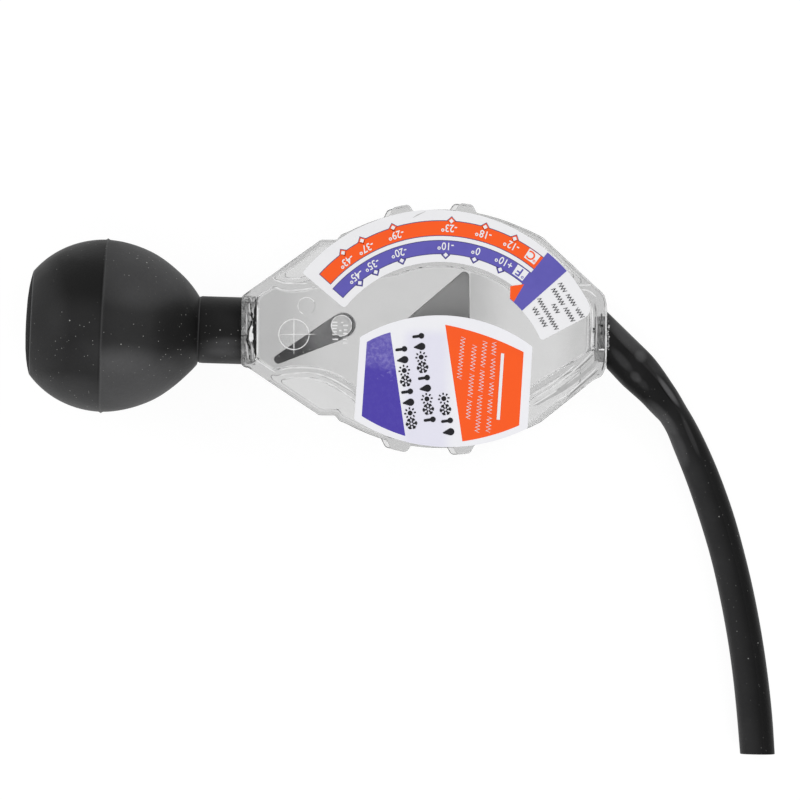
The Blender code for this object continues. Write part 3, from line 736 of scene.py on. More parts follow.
def rounded_corners(outline, radius, least=12):
    """The outline with each corner of at least so many degrees as an arc, as large as its edges allow."""
    points = np.array(outline)
    made = []
    for before, here, after in zip(np.roll(points, 1, axis=0), points, np.roll(points, -1, axis=0)):
        into, away = here - before, after - here
        reach_in, reach_out = np.linalg.norm(into), np.linalg.norm(away)
        into, away = into / reach_in, away / reach_out
        turned = math.atan2(into[0] * away[1] - into[1] * away[0], float(into @ away))
        if abs(turned) < math.radians(least):
            made.append(tuple(here))
            continue
        length = min(radius * math.tan(abs(turned) / 2), 0.45 * min(reach_in, reach_out))
        for t in np.linspace(0, 1, CORNER_STEPS + 1):
            made.append(tuple(bend(here - into * length, here, here + away * length, t)))
    return made


def offset_outline(outline, distance):
    """The outline moved outward by distance, or inward by a negative one; it runs clockwise."""
    points = np.array(outline)
    before = points - np.roll(points, 1, axis=0)
    after = np.roll(points, -1, axis=0) - points
    before /= np.linalg.norm(before, axis=1)[:, None]
    after /= np.linalg.norm(after, axis=1)[:, None]
    left_before = np.column_stack((-before[:, 1], before[:, 0]))
    left_after = np.column_stack((-after[:, 1], after[:, 0]))
    between = left_before + left_after
    between /= np.linalg.norm(between, axis=1)[:, None]
    reach = distance / np.sum(between * left_after, axis=1)
    return [tuple(point) for point in points + between * reach[:, None]]


# %% [markdown]
# The long edges are shallow bows. Weld tabs stand out of them: the front shell's tabs start a little
# later than the rear shell's, which is why each tab looks doubled in the photograph.

# %% The body's edge, the chamber and the wings
def bow(x):
    """The half width of the body at x over its weld tabs' feet: a shallow arc."""
    return BOW_HALF - BOW_RADIUS + math.sqrt(BOW_RADIUS**2 - (x - BOW_X) ** 2)


def between_tabs(x):
    return bow(x) - BOW_DIP * float(np.interp(x, DIP_PLACES, (0, 1, 1, 0)))


def bow_edge(tabs):
    edge = []
    for x in np.linspace(SHOULDER_X + SHOULDER_LAND + TAB_SLOPE, BOW_END_X, 49):
        if not any(low - TAB_SLOPE / 2 < x < high + TAB_SLOPE / 2 for low, high in tabs):
            edge.append((x, between_tabs(x)))
    for low, high in tabs:
        crest = [(x, bow(x) + TAB_HEIGHT) for x in (low + TAB_SLOPE, high - TAB_SLOPE)]
        edge += [(low, between_tabs(low)), *crest, (high, between_tabs(high))]
    return sorted(edge)


def body_outline(tabs=()):
    upper = [(SHOULDER_X, SHOULDER_HALF), (SHOULDER_X + SHOULDER_LAND, SHOULDER_HALF), *bow_edge(tabs)]
    above, below = COLLAR_CORNERS
    return [*above, *upper, *NOSE, *((x, -y) for x, y in reversed(upper)), *reversed(below)]


def throat(wave, meets):
    """The wavy wall by the bulb, up to where its arc starts."""
    return [tuple(point) for point in smooth_through([*wave, meets], 6)]


def chamber_roof():
    sweep = arc(DIAL, POINTER_SWEEP, ROOF_FROM, ROOF_TO, 40)
    return throat(THROAT_ABOVE, sweep[0]) + sweep[1:] + CHAMBER_END_ABOVE


def chamber_floor():
    sweep = arc(FLOOR_CENTRE, FLOOR_SWEEP, FLOOR_FROM, FLOOR_TO, 50)
    return throat(THROAT_BELOW, sweep[0]) + sweep[1:] + CHAMBER_END_BELOW


def chamber_outline():
    return chamber_roof() + list(reversed(chamber_floor()))


def height_at(line, xs):
    line = np.array(sorted(line))
    return np.interp(xs, line[:, 0], line[:, 1])


def trimmed(line, start, end):
    """An open line of points, shorter by these lengths at its two ends."""
    line = np.array(line)
    run = np.concatenate(([0.0], np.cumsum(np.linalg.norm(np.diff(line, axis=0), axis=1))))
    first, last = min(start, 0.45 * run[-1]), run[-1] - min(end, 0.45 * run[-1])
    inner = line[(run > first + 0.05) & (run < last - 0.05)]
    ends = [[np.interp(at, run, line[:, axis]) for axis in (0, 1)] for at in (first, last)]
    return np.vstack((ends[:1], inner, ends[1:]))


def blended(sides, reach):
    """A closed outline of sides that meet at corners, each drawn as a bend with its own reach."""
    after_side = np.broadcast_to(reach, len(sides))
    cut = [trimmed(side, start, end) for side, start, end in zip(sides, np.roll(after_side, 1), after_side)]
    outline = []
    for here, after, side in zip(cut, cut[1:] + cut[:1], sides):
        outline += [tuple(point) for point in here]
        for t in np.linspace(0, 1, BLEND_STEPS + 1)[1:-1]:
            outline.append(tuple(bend(here[-1], np.array(side[-1]), after[0], t)))
    return outline


def chamber_ring():
    """The chamber's outline with soft corners."""
    roof, floor = chamber_roof(), list(reversed(chamber_floor()))
    ring = blended([roof, [roof[-1], floor[0]], floor, [floor[-1], roof[0]]], CHAMBER_BEND)
    return rounded_corners(ring, CHAMBER_CORNER)


def wing_outlines(side, step, least):
    """The hollows between the chamber's wall and the outer wall, wherever that is wide enough."""
    skirt = offset_outline(body_outline(), -SKIRT - step / 2)
    outer = [(x, y) for x, y in skirt if y * side > 0 and x < NOSE_X]
    grown = offset_outline(chamber_outline(), CHAMBER_WALL[side] + step)
    count = len(chamber_roof())
    inner = grown[:count] if side > 0 else grown[count:]
    xs = np.linspace(*WING_SPAN, 120)
    far, near = height_at(outer, xs), height_at(inner, xs)
    wide = np.flatnonzero((far - near) * side > least)
    rings = []
    for run in np.split(wide, np.flatnonzero(np.diff(wide) > 1) + 1):
        there = [(xs[i], far[i]) for i in run]
        back = [(xs[i], near[i]) for i in reversed(run)]
        ring = blended([there, [there[-1], back[0]], back, [back[-1], there[0]]], WING_ROUND)
        rings.append(ring if side > 0 else list(reversed(ring)))
    return rings


print("body", len(body_outline()), "points, chamber", len(chamber_outline()), "points")
print("wings", [len(wing_outlines(side, 0.0, 0.7)) for side in (1, -1)])

# %% [markdown]
# ## The clear shells
# Each shell is one solid: the outline pulled up to the plate with a rounded rim, less the chamber,
# the wings, the collar's bore and the mouth, plus the two bosses that hold the pins. The hollows have
# rounds where they meet the plate, because those rounds are what draws the bright and dark lines in
# clear plastic. Boolean modifiers do the cutting, and the result becomes a plain mesh.

# %% Cutting the shells
def rounded_prism(outline, low, high, round_by):
    """A prism whose far end, high, is rounded like the rim of a moulding."""
    side = 1 if high > low else -1
    rings = [level_ring(outline, low)]
    for a in np.linspace(0, math.pi / 2, RIM_STEPS + 1):
        inset = round_by * (1 - math.cos(a))
        rings.append(level_ring(offset_outline(outline, -inset), high - side * round_by * (1 - math.sin(a))))
    return lofted(rings)


def rod_x(centre_y, radius, low, high, sides=72):
    ring = circle((centre_y, 0.0), radius, sides)
    return lofted([[(x, y, z) for y, z in ring] for x in (low, high)])


def baked(holder):
    """What an object's modifiers make of it, as a plain mesh."""
    bpy.context.view_layer.update()
    graph = bpy.context.evaluated_depsgraph_get()
    return bpy.data.meshes.new_from_object(holder.evaluated_get(graph))


def carved(name, start, steps):
    """The start shape with each (operation, shape) applied by a Boolean, as a plain mesh."""
    helpers = [linked(name, to_mesh(name, start))]
    for count, (operation, shape) in enumerate(steps):
        step = helpers[0].modifiers.new(f"step_{count}", "BOOLEAN")
        step.operation, step.solver = operation, "MANIFOLD"
        helpers.append(linked(f"{name}_{count}", to_mesh(f"{name}_{count}", shape)))
        step.object = helpers[-1]
    mesh = baked(helpers[0])
    for made in helpers:
        spent = made.data
        bpy.data.objects.remove(made, do_unlink=True)
        bpy.data.meshes.remove(spent)
    shape = bmesh.new()
    shape.from_mesh(mesh)
    bmesh.ops.triangulate(shape, faces=shape.faces)
    shape.to_mesh(mesh)
    shape.free()
    return mesh


HUB_FRONT, HUB_REAR = 5.6, 4.0        # the pointer hub's faces, from the mid-plane
LEVEL_FRONT, LEVEL_REAR = 1.2, 1.8
POINTER_BORE, LEVEL_BORE = 1.3, 1.1   # radii of the pins' holes
FREE = 0.3                            # gap between a swinging piece and the boss that it faces
BOSSES = (  # centre, radius, pin hole radius, front and rear faces
    (DIAL, 3.2, POINTER_BORE, HUB_FRONT + FREE, HUB_REAR + FREE),
    (LEVEL, 3.05, LEVEL_BORE, LEVEL_FRONT + FREE, LEVEL_REAR + FREE),
)
EDGE_ROUND, RIM_ROUND, CHAMBER_ROUND = 1.7, 0.55, 0.7
PIN_SEAT = 3.5                        # how deep a pin sits in its boss
OPEN = 1.0                            # how far a cutting shape stands out past what it cuts
MOUTH_BORE, MOUTH_DEPTH = 6.8, 3.6
PASSAGE = 3.6                         # radius of the way from the mouth into the chamber
WING_CUTS = ((0.0, WING_SHALLOW, 0.25, 0.7), (WING_STEP, INNER, 0.3, 0.8))    # step, depth, rim, least width


def shell_mesh(side):
    stagger = TAB_STAGGER if side == FRONT else 0.0
    tabs = [(start + stagger, start + length) for start, length in zip(TAB_STARTS, TAB_LENGTHS)]
    outline = rounded_corners(body_outline(tabs), EDGE_ROUND)
    blank = rounded_prism(outline, side * WELD, side * HALF_DEPTH, RIM_ROUND)
    open_side = -side * OPEN
    cuts = [rounded_prism(chamber_ring(), open_side, side * INNER, CHAMBER_ROUND)]
    for half in (1, -1):
        for step, depth, round_by, least in WING_CUTS:
            for hollow in wing_outlines(half, step, least):
                cuts.append(rounded_prism(hollow, open_side, side * depth, round_by))
    steps = [("DIFFERENCE", cut) for cut in cuts]
    for centre, radius, hole, front_face, rear_face in BOSSES:
        face = front_face if side == FRONT else rear_face
        steps.append(("UNION", prism(circle(centre, radius), side * face, side * (INNER + PLATE / 2))))
        pin_hole = prism(circle(centre, hole, 32), side * (face - OPEN), side * (face + PIN_SEAT))
        steps.append(("DIFFERENCE", pin_hole))
    for bore in (
        rod_x(COLLAR_MIDDLE, COLLAR_BORE, BODY_LEFT - OPEN, CHAMBER_LEFT),
        rod_x(-HOSE_DROP, MOUTH_BORE, MOUTH_X - MOUTH_DEPTH, MOUTH_X + OPEN),
        rod_x(-HOSE_DROP, PASSAGE, CHAMBER_RIGHT - OPEN, SEAT_X, 40),
    ):
        steps.append(("DIFFERENCE", bore))
    return with_chamber_tint(carved("shell", blank, steps))


def inside(point, ring):
    """Whether a point lies inside a closed outline."""
    x, y = point
    hits = 0
    for (ax, ay), (bx, by) in zip(ring, ring[1:] + ring[:1]):
        if (ay > y) != (by > y) and x < ax + (y - ay) * (bx - ax) / (by - ay):
            hits += 1
    return hits % 2 == 1


def with_chamber_tint(mesh):
    """Marks the chamber's inner faces, which the clear plastic tints darker grey."""
    ring = chamber_ring()
    film = [
        float(abs(abs(face.center.z) - INNER) < 0.01 and inside(face.center.xy, ring))
        for face in mesh.polygons
    ]
    mesh.attributes.new("chamber_tint", "FLOAT", "FACE").data.foreach_set("value", film)
    return mesh


# %% [markdown]
# The plastic is clear styrene that has gone a little milky: it lets the white table through, but each face
# takes some light away, so the body reads as a pearly grey. Its walls stand on edge to the eye, and an
# absorbing volume makes such deep plastic darker than the thin plates. The chamber's inner faces are tinted
# darker grey, most toward the bulb and at the chamber's right end, with a painted shadow of the pointer to
# its right.

# %% Clear plastic
CLEAR_TINT, CLEAR_ROUGHNESS = (0.885, 0.885, 0.885), 0.04
WALL_GREY, WALL_DENSITY = (0.5, 0.5, 0.5, 1), 19.0


def clear_plastic():
    finish = Finish("clear_plastic")
    haze = finish.noise(60, 3, 0.6).band(0.45, 0.75)
    scratches = finish.noise(700, 1, 0.5, finish.stretched((1.0, 9.0, 1.0))).band(0.66, 0.72)
    x, y, z = finish.on_tester()
    chamber_tint = finish.add("Attribute", {"attribute_name": "chamber_tint"}, output="Fac")
    # the chamber's inner faces are tinted darker toward the bulb, left of the middle and at the chamber's
    # right end
    thick = x.band(-26, -46) * 0.2 + x.band(44, 5) * 0.1 + x.band(38, 47) * 0.16
    # painted shadow of the pointer: a darker band just to its right
    thick = thick + (x > 13.4) * x.band(25, 13.4) * 0.2
    thick = thick + finish.noise(90, 3, 0.6, distortion=0.4).band(0.5, 0.8) * 0.05
    clean = finish.mix(haze * 0.6, CLEAR_TINT, tuple(v * 0.98 for v in CLEAR_TINT))
    colour = finish.mix(chamber_tint * thick, clean, (0.0, 0.0, 0.0))
    rough = haze * 0.04 + scratches * 0.05 + CLEAR_ROUGHNESS
    inner = finish.add("VolumeAbsorption", {}, {"Color": WALL_GREY, "Density": WALL_DENSITY})
    finish.join(inner, finish.tree.nodes["Material Output"].inputs["Volume"])
    return finish.done(colour, rough, finish.noise(220, 2), 0.00004, IOR=1.5, Transmission_Weight=1.0)


CLEAR_PLASTIC = clear_plastic()
for side, node, name in ((FRONT, "front_cover", "front_shell"), (REAR, "rear_shell", "back_shell")):
    shell = piece(name, shell_mesh(side), CLEAR_PLASTIC, flats=True)
    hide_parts(node)

# %% [markdown]
# ## The squeeze bulb
# The bulb is one blown rubber moulding: an oval that runs into a neck, with a shallow flat at its
# end. The mould's two halves met round its widest place and left a thin ridge there, with a nib of
# flash at each side. The soft neck sags a little to one side before it enters the collar, so the
# rings of the loft are moved a little sideways along the neck. The wall is hollow, as the solid is.

# %% Bulb profile
BULB_X, BULB_RADIUS, BULB_BACK, BULB_FRONT = -96.3, 25.85, 27.3, 32.1
BULB_SHARE = 1.8                  # exponent of the oval toward the neck: 2 would be an ellipse
CAP_X, CAP_DOME, CAP_LEAN = -118.17, 1.55, (0.0363, 0.025)   # the end leans to +Y and +Z
BULB_WALL = 2.6
NECK_RADIUS, NECK_BORE = 10.05, 6.4
SLIM_FROM, SLIM_OVER, SLIM_BY = 14, 12.5, 0.036     # toward the neck the oval is drawn in a little
FRONT_SAG, NECK_SAG, END_SAG = 0.4, 0.45, 0.25
RIDGE_X, RIDGE_LEAN, RIDGE_HIGH, RIDGE_WIDE = -96.15, 0.035, 0.16, 0.4
CAP_RINGS = (0.03, 0.25, 0.5, 0.7, 0.85, 0.95, 1.0)     # shares of the flat end's radius
RIDGE_ZONE, RIDGE_STEP = 2.6, 0.16                      # the rings lie close round the ridge
CREASE_RINGS = ((-0.05, -0.21), (0.12, -0.19), (0.3, -0.05), (0.5, 0.0), (1.5, 0.0))
NECK_END = ((-52.6, 9.55), (-51.3, 9.15), (-50.98, 8.9), (-50.9, 8.6))     # its rounded end: x, radius
BULB_SIDES = 144
ANGLES = np.linspace(0, 2 * math.pi, BULB_SIDES, endpoint=False)


def share_of(run, whole):
    """How much of the whole has been run, from 0 to 1."""
    return min(1.0, max(0.0, run / whole))


def eased(t):
    return t * t * (3 - 2 * t)


def oval_radius(x, wall=0.0):
    """The bulb's radius at x, this far inside its skin."""
    reach, run = BULB_RADIUS - wall, x - BULB_X
    if run < 0:
        return reach * math.sqrt(max(0.0, 1 - (run / (BULB_BACK - wall)) ** 2))
    share = share_of(run, BULB_FRONT - wall)
    slim = 1 - SLIM_BY * eased(share_of(run - SLIM_FROM, SLIM_OVER))
    return reach * slim * (1 - share**BULB_SHARE) ** (1 / BULB_SHARE)


front_xs = np.arange(BULB_X + 20, BULB_X + BULB_FRONT, 0.02)
CREASE_X = max(x for x in front_xs if oval_radius(x) >= NECK_RADIUS - 0.25)


def sag(x):
    """How far the middle has sunk sideways at x: slowly over the front half, quickly at the crease."""
    front = share_of(x - RIDGE_X, CREASE_X - RIDGE_X)
    at_crease = share_of(x - CREASE_X + 4, 5.5)
    along_neck = share_of(x - CREASE_X, BODY_LEFT - CREASE_X)
    return -FRONT_SAG * front**2 - NECK_SAG * eased(at_crease) - END_SAG * along_neck


def ring_of(places):
    """A ring from its x and radius at each angle, moved sideways by the sag."""
    return [(x, r * math.sin(a) + sag(x), r * math.cos(a)) for a, (x, r) in zip(ANGLES, places)]


def plain_ring(x, radius, lean=0.0):
    return ring_of([(x + lean * radius * math.sin(a), radius) for a in ANGLES])


def cap_edge(a):
    """Where the leaning end meets the oval at this angle: x and radius."""
    radius = 15.3
    for _ in range(10):
        x = CAP_X + (CAP_LEAN[0] * math.sin(a) + CAP_LEAN[1] * math.cos(a)) * radius
        radius = oval_radius(x)
    return x, radius


def leaning(a, x):
    """The ridge's plane leans, and the rings near it lean with it."""
    return RIDGE_LEAN * math.sin(a) * oval_radius(x)


def skin_ring(x):
    """A ring of the skin near the ridge, with the ridge and its two nibs of flash."""
    on_ridge = math.exp(-(((x - RIDGE_X) / RIDGE_WIDE) ** 2)) * RIDGE_HIGH
    places = []
    for a in ANGLES:
        nib = 1 + 1.4 * math.exp(-(((math.sin(a) ** 2 - 1) / 0.0006) ** 2))
        place = x + leaning(a, x)
        places.append((place, oval_radius(place) + on_ridge * nib))
    return ring_of(places)


def bulb_mesh():
    rims, ridge_from = [cap_edge(a) for a in ANGLES], BULB_X - RIDGE_ZONE
    rings = []
    for share in CAP_RINGS:
        dome = CAP_DOME * (1 - share**3)
        rings.append(ring_of([(CAP_X + (x - CAP_X) * share - dome, r * share) for x, r in rims]))
    for t in np.linspace(0, 1, 26)[1:]:
        places = [x + (ridge_from + leaning(a, ridge_from) - x) * t for a, (x, _) in zip(ANGLES, rims)]
        rings.append(ring_of([(x, oval_radius(x)) for x in places]))
    rings += [skin_ring(x) for x in np.arange(ridge_from + RIDGE_STEP, BULB_X + 2.5, RIDGE_STEP)]
    rings += [skin_ring(x) for x in np.linspace(BULB_X + 2.8, CREASE_X - 0.3, 40)]
    for step, over in CREASE_RINGS:
        rings.append(plain_ring(CREASE_X + step, NECK_RADIUS + over, RIDGE_LEAN))
    rings += [plain_ring(x, NECK_RADIUS) for x in np.linspace(CREASE_X + 3, BODY_LEFT + 0.2, 9)]
    rings += [plain_ring(x, r) for x, r in NECK_END]
    rings += [plain_ring(x, NECK_BORE) for x in (NECK_END[-1][0], -56, -62, -68)]
    for x in np.linspace(BULB_X + 27, BULB_X - 20, 16):
        rings.append(plain_ring(x, max(NECK_BORE, oval_radius(x, BULB_WALL))))
    return lofted(rings + [plain_ring(BULB_X - 20.2, 9.5), plain_ring(BULB_X - 20.6, 0.4)])


# painted highlights on the bulb's front half, as soft spots
BULB_HIGHLIGHT_SPOTS = (  # pixel, size in pixels, level
    ((145, 272), (80, 44), 0.5), ((122, 381), (72, 40), 0.78), ((118, 334), (54, 46), 0.14),
    ((186, 362), (30, 18), 0.2), ((226, 347), (34, 12), 0.5), ((226, 356), (40, 10), 0.25),
)
# painted highlights on the bulb's back half
BULB_BACK_HIGHLIGHT_SPOTS = (
    ((34, 325), (40, 84), 0.25), ((84, 344), (60, 54), 0.17), ((92, 364), (44, 30), 0.1),
    ((62, 400), (75, 30), 0.45), ((70, 250), (50, 14), 0.05),
)
# painted shade on the front half by the neck
NECK_SHADE = ((187, 327), (40, 34), 0.8)
FRONT_PAINTED_LIGHT, BACK_PAINTED_LIGHT = 0.08, 0.035       # the least painted light on each half of the rubber


def from_cap(x, y, z):
    """How far a point lies toward the neck from the plane of the bulb's flat end."""
    return x - y * CAP_LEAN[0] - z * CAP_LEAN[1] - CAP_X


def from_ridge(x, y):
    return x - y * RIDGE_LEAN - RIDGE_X


def cap_matt(x, y, z):
    """The flat end never touches hand or table and stays fully matt."""
    return from_cap(x, y, z).band(0.02, -0.05)


def bulb_light_and_shade(finish, x, y, z):
    """Painted light and shade: the front half is painted paler than the back half, with painted highlights, a
    painted shade by the neck and a darker flat end.
    """
    front = from_ridge(x, y).band(-0.1, 0.3)
    before, behind = FRONT_PAINTED_LIGHT, BACK_PAINTED_LIGHT
    for spot in BULB_HIGHLIGHT_SPOTS:
        before = soft_spot(x, y, *spot) + before
    for spot in BULB_BACK_HIGHLIGHT_SPOTS:
        behind = soft_spot(x, y, *spot) + behind
    # the flat end keeps only half of the back's painted light, so it is painted darker
    behind = behind * (1 - cap_matt(x, y, z) * 0.5)
    return before * front * (1 - soft_spot(x, y, *NECK_SHADE)) + behind * (1 - front)


def bulb_painted_lines(x, y, z):
    """Painted highlights: thin pale lines on the ridge, the rim of the end and the crease at the neck, with a
    painted shade just behind the ridge.
    """
    off_ridge, off_cap = from_ridge(x, y), from_cap(x, y, z)
    # painted highlight along the ridge and painted shade just behind it; painted highlights on the end's rim
    # and at the crease
    ridge = off_ridge.absolute().band(0.34, 0.12) * 0.3
    shade = off_ridge.band(-1.1, -0.3) * off_ridge.band(-0.1, -0.4) * -0.06
    rim = off_cap.band(0.0, 0.06) * off_cap.band(0.42, 0.16) * 0.8
    crease = (x - y * RIDGE_LEAN - float(CREASE_X)).absolute().band(0.3, 0.1) * 0.45
    return ridge + shade + rim + crease


BULB_RUBBER = rubber("bulb_rubber", bulb_light_and_shade, bulb_painted_lines, 1.0, 0.2, 0.5, cap_matt)
bulb = piece("rubber_bulb", bulb_mesh(), BULB_RUBBER)
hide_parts("squeeze_bulb")

# %% [markdown]
# ## Printed labels
# Each label is a thin plastic film with a white ground, stuck on the front shell. The print is laid
# on it in paper-thin sheets of colour: two curved bands with dark outlines, a blue strip, and on the
# lower label a blue and an orange panel.

# %% Print sheets
FILM_LOW, FILM_TOP = HALF_DEPTH + 0.1, HALF_DEPTH + 0.3
SHEET = 0.02                        # height of a layer of print
THICK = SHEET * 1.2                 # a sheet's own thickness, so that layers overlap
FILM_GLOSS, FILM_SHINE = 0.32, 0.35


def sheet(outline, layer):
    """A paper-thin sheet of print, that many layers over the film."""
    low = FILM_TOP + (layer - 1.3) * SHEET
    return prism(outline, low, low + THICK)


def merged(shapes):
    """Several shapes as one."""
    whole = bmesh.new()
    for shape in shapes:
        part = to_mesh("part", shape)
        whole.from_mesh(part)
        bpy.data.meshes.remove(part)
    return whole


def printed(name, finish, mesh):
    """A sheet or mark of print on the labels."""
    return piece(name, mesh, finish, flats=True)


def film_blotches(finish):
    """Faint blotches where the clear film over the print has lifted."""
    return finish.noise(130, 4, 0.65).band(0.4, 0.75)


def under_film(finish, colour, blotches):
    waves = finish.noise(260, 2)
    return finish.done(colour, blotches * 0.12 + FILM_GLOSS, waves, 0.00005, Specular_IOR_Level=FILM_SHINE)


def print_finish(name, colour, deep=None, blotch=0.25):
    """Printed ink under a clear film: a colour with faint blotches."""
    finish = Finish(name)
    blotches = film_blotches(finish)
    fine = finish.noise(1800, 1)
    shade = deep or tuple(v * 0.88 for v in colour)
    return under_film(finish, finish.mix(blotches * blotch + fine * 0.12, colour, shade), blotches)


LABEL_WHITE = print_finish("label_white", seen_as(238, 238, 240), seen_as(226, 226, 230))
LABEL_ORANGE = print_finish("label_orange", seen_as(252, 92, 24), seen_as(246, 84, 20), 0.4)
LABEL_BLUE = print_finish("label_blue", seen_as(98, 92, 180), seen_as(88, 82, 170), 0.6)
LABEL_INK = print_finish("label_ink", seen_as(22, 22, 26), seen_as(40, 40, 46))
LABEL_LINE = print_finish("label_line", seen_as(70, 66, 120), seen_as(90, 80, 110))

# %% The scale label's film and bands
BAND_START, BAND_END, FLAP_END = 142.5, 50.5, 23.5
FLAP_INNER = 32.7
LABEL_INNER, LABEL_OUTER, LABEL_CENTRE = 36.3, 51.32, (DIAL[0] - 1.355, DIAL[1] + 0.546)


def ring_sector(inner, outer, start, end, steps=60):
    return arc(DIAL, outer, start, end, steps) + arc(DIAL, inner, end, start, steps)


def scale_film():
    """The film's outline: two arcs about the pivot, and the flap, each corner with its own round."""
    outer = arc(LABEL_CENTRE, LABEL_OUTER, BAND_START - 1.1, FLAP_END + 0.5, 90)
    foot = arc(DIAL, FLAP_INNER, FLAP_END, BAND_END - 3.0, 16)
    inner = arc(DIAL, LABEL_INNER, BAND_END, BAND_START, 60)
    sides = [outer, [outer[-1], foot[0]], foot, [foot[-1], inner[0]], inner, [inner[-1], outer[0]]]
    return prism(blended(sides, (3.4, 1.2, 0.3, 0.3, 1.3, 0.6)), FILM_LOW, FILM_TOP)


film = piece("scale_film", scale_film(), LABEL_WHITE, flats=True)
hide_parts("scale_label")

P = PIXEL * (1 - HALF_DEPTH / DISTANCE)     # millimetres per pixel at the labels
ORANGE_BAND = (148.2 * P, 162.5 * P, 138.3, 50.8)
BLUE_BAND = (130.0 * P, 142.7 * P, 139.0, 50.8)
OUTLINE_WIDTH = 0.22


def band_with_line(band, name, ink):
    inner, outer, start, end = band
    grow = math.degrees(OUTLINE_WIDTH / outer)
    dark = ring_sector(inner - OUTLINE_WIDTH, outer + OUTLINE_WIDTH, start + grow, end)
    printed(f"{name}_outline", LABEL_LINE, sheet(dark, 1))
    printed(name, ink, sheet(ring_sector(inner, outer, start, end), 2))


band_with_line(ORANGE_BAND, "orange_band", LABEL_ORANGE)
band_with_line(BLUE_BAND, "blue_band", LABEL_BLUE)
STRIP = (109.5 * P, 169.4 * P, 51.2, 42.2)
printed("blue_strip", LABEL_BLUE, sheet(ring_sector(*STRIP, 10), 4))


def on_label(*pixels):
    return [tuple(at_pixel(px, py, FILM_TOP)) for px, py in pixels]


tab = on_label((510.3, 286.2), (524.1, 284.2), (513.8, 301.8), (510, 298.4))
printed("orange_tab", LABEL_ORANGE, sheet(tab, 5))

# %% The name label's film and panels
NAME_ARCS = (  # centre, radius, x of both ends and which half of the circle
    ((4.6, -42.0), 46.0, (-19.4, 32.1), 1),
    ((6.8, -35.3 + 52.4), 52.4, (30.9, -20.9), -1),
)
LILAC_FROM, LILAC_TO = (398, 412), (456, 440)       # the margins' soft edges, in pixels


def name_film():
    outline = []
    for centre, radius, ends, half in NAME_ARCS:
        turns = [half * math.degrees(math.acos((x - centre[0]) / radius)) for x in ends]
        outline += arc(centre, radius, *turns, 40)
    return prism(rounded_corners(outline, 0.9, 40), FILM_LOW, FILM_TOP)


def lilac_middle():
    """The name label's film: lilac between the two panels and whiter at its margins."""
    finish = Finish("label_lilac")
    x, y, z = finish.on_tester()
    between = y.band(1, -3)
    for edges in (LILAC_FROM, LILAC_TO):
        between = between * x.band(*(float(at_pixel(px, 385, FILM_TOP)[0]) for px in edges))
    blotches = film_blotches(finish)
    lilac = finish.mix(blotches * 0.3, seen_as(229, 228, 241), seen_as(222, 220, 236))
    white = finish.mix(blotches * 0.3, seen_as(240, 240, 244), seen_as(232, 232, 238))
    return under_film(finish, finish.mix(between, white, lilac), blotches)


film = piece("name_film", name_film(), lilac_middle(), flats=True)
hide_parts("name_label")


def bowed(start, end, rise):
    """Points from start to end along a shallow bow that rises this much to its left side."""
    start, end = np.array(start), np.array(end)
    normal = left_of(end - start) / np.linalg.norm(end - start)
    return [tuple(start + (end - start) * t + normal * rise * 4 * t * (1 - t)) for t in np.linspace(0, 1, 15)]


def worn_blue():
    """The blue panel's ink: rubbed and spotted above, deep below."""
    finish = Finish("panel_blue")
    x, y, z = finish.on_tester()
    rubbed = (y + (finish.noise(160, 3) - 0.5) * 9).band(-13.5, -9.5)
    fine = finish.noise(900, 3, 0.7, distortion=0.5).band(0.4, 0.68)
    spots = finish.noise(480, 2, 0.6).band(0.6, 0.68) * y.band(-19, -13)
    deep = finish.mix(fine * 0.25, seen_as(76, 62, 168), seen_as(86, 74, 176))
    upper = finish.mix(fine * 0.8, seen_as(96, 86, 176), seen_as(134, 126, 196))
    worn = finish.mix(spots * 0.7, finish.mix(rubbed, deep, upper), seen_as(128, 120, 196))
    return finish.done(worn, fine * 0.15 + FILM_GLOSS, fine, 0.00003, Specular_IOR_Level=FILM_SHINE)


for name, ink, upper_rise, lower_rise, corners in (
    ("blue_panel", worn_blue(), 0.25, 0.5, ((366.8, 342), (390.4, 332.3), (405.3, 436), (361.7, 416))),
    (
        "orange_panel", LABEL_ORANGE, 0.9, 0.6,
        ((445.2, 324.7), (523.7, 352.1), (519.2, 425.4), (462.4, 441.4)),
    ),
):
    a, b, c, d = on_label(*corners)
    printed(name, ink, sheet([*bowed(a, b, upper_rise), *bowed(c, d, lower_rise)], 1))

# %% [markdown]
# ## Geometry Nodes in a few lines
# What repeats on the tester, such as the scale's marks, the strokes of small print and the beads of
# glue, is grown by Geometry Nodes. A small class builds a tree with named inputs, and its method
# grow runs the tree on a few points and gives back a plain mesh.

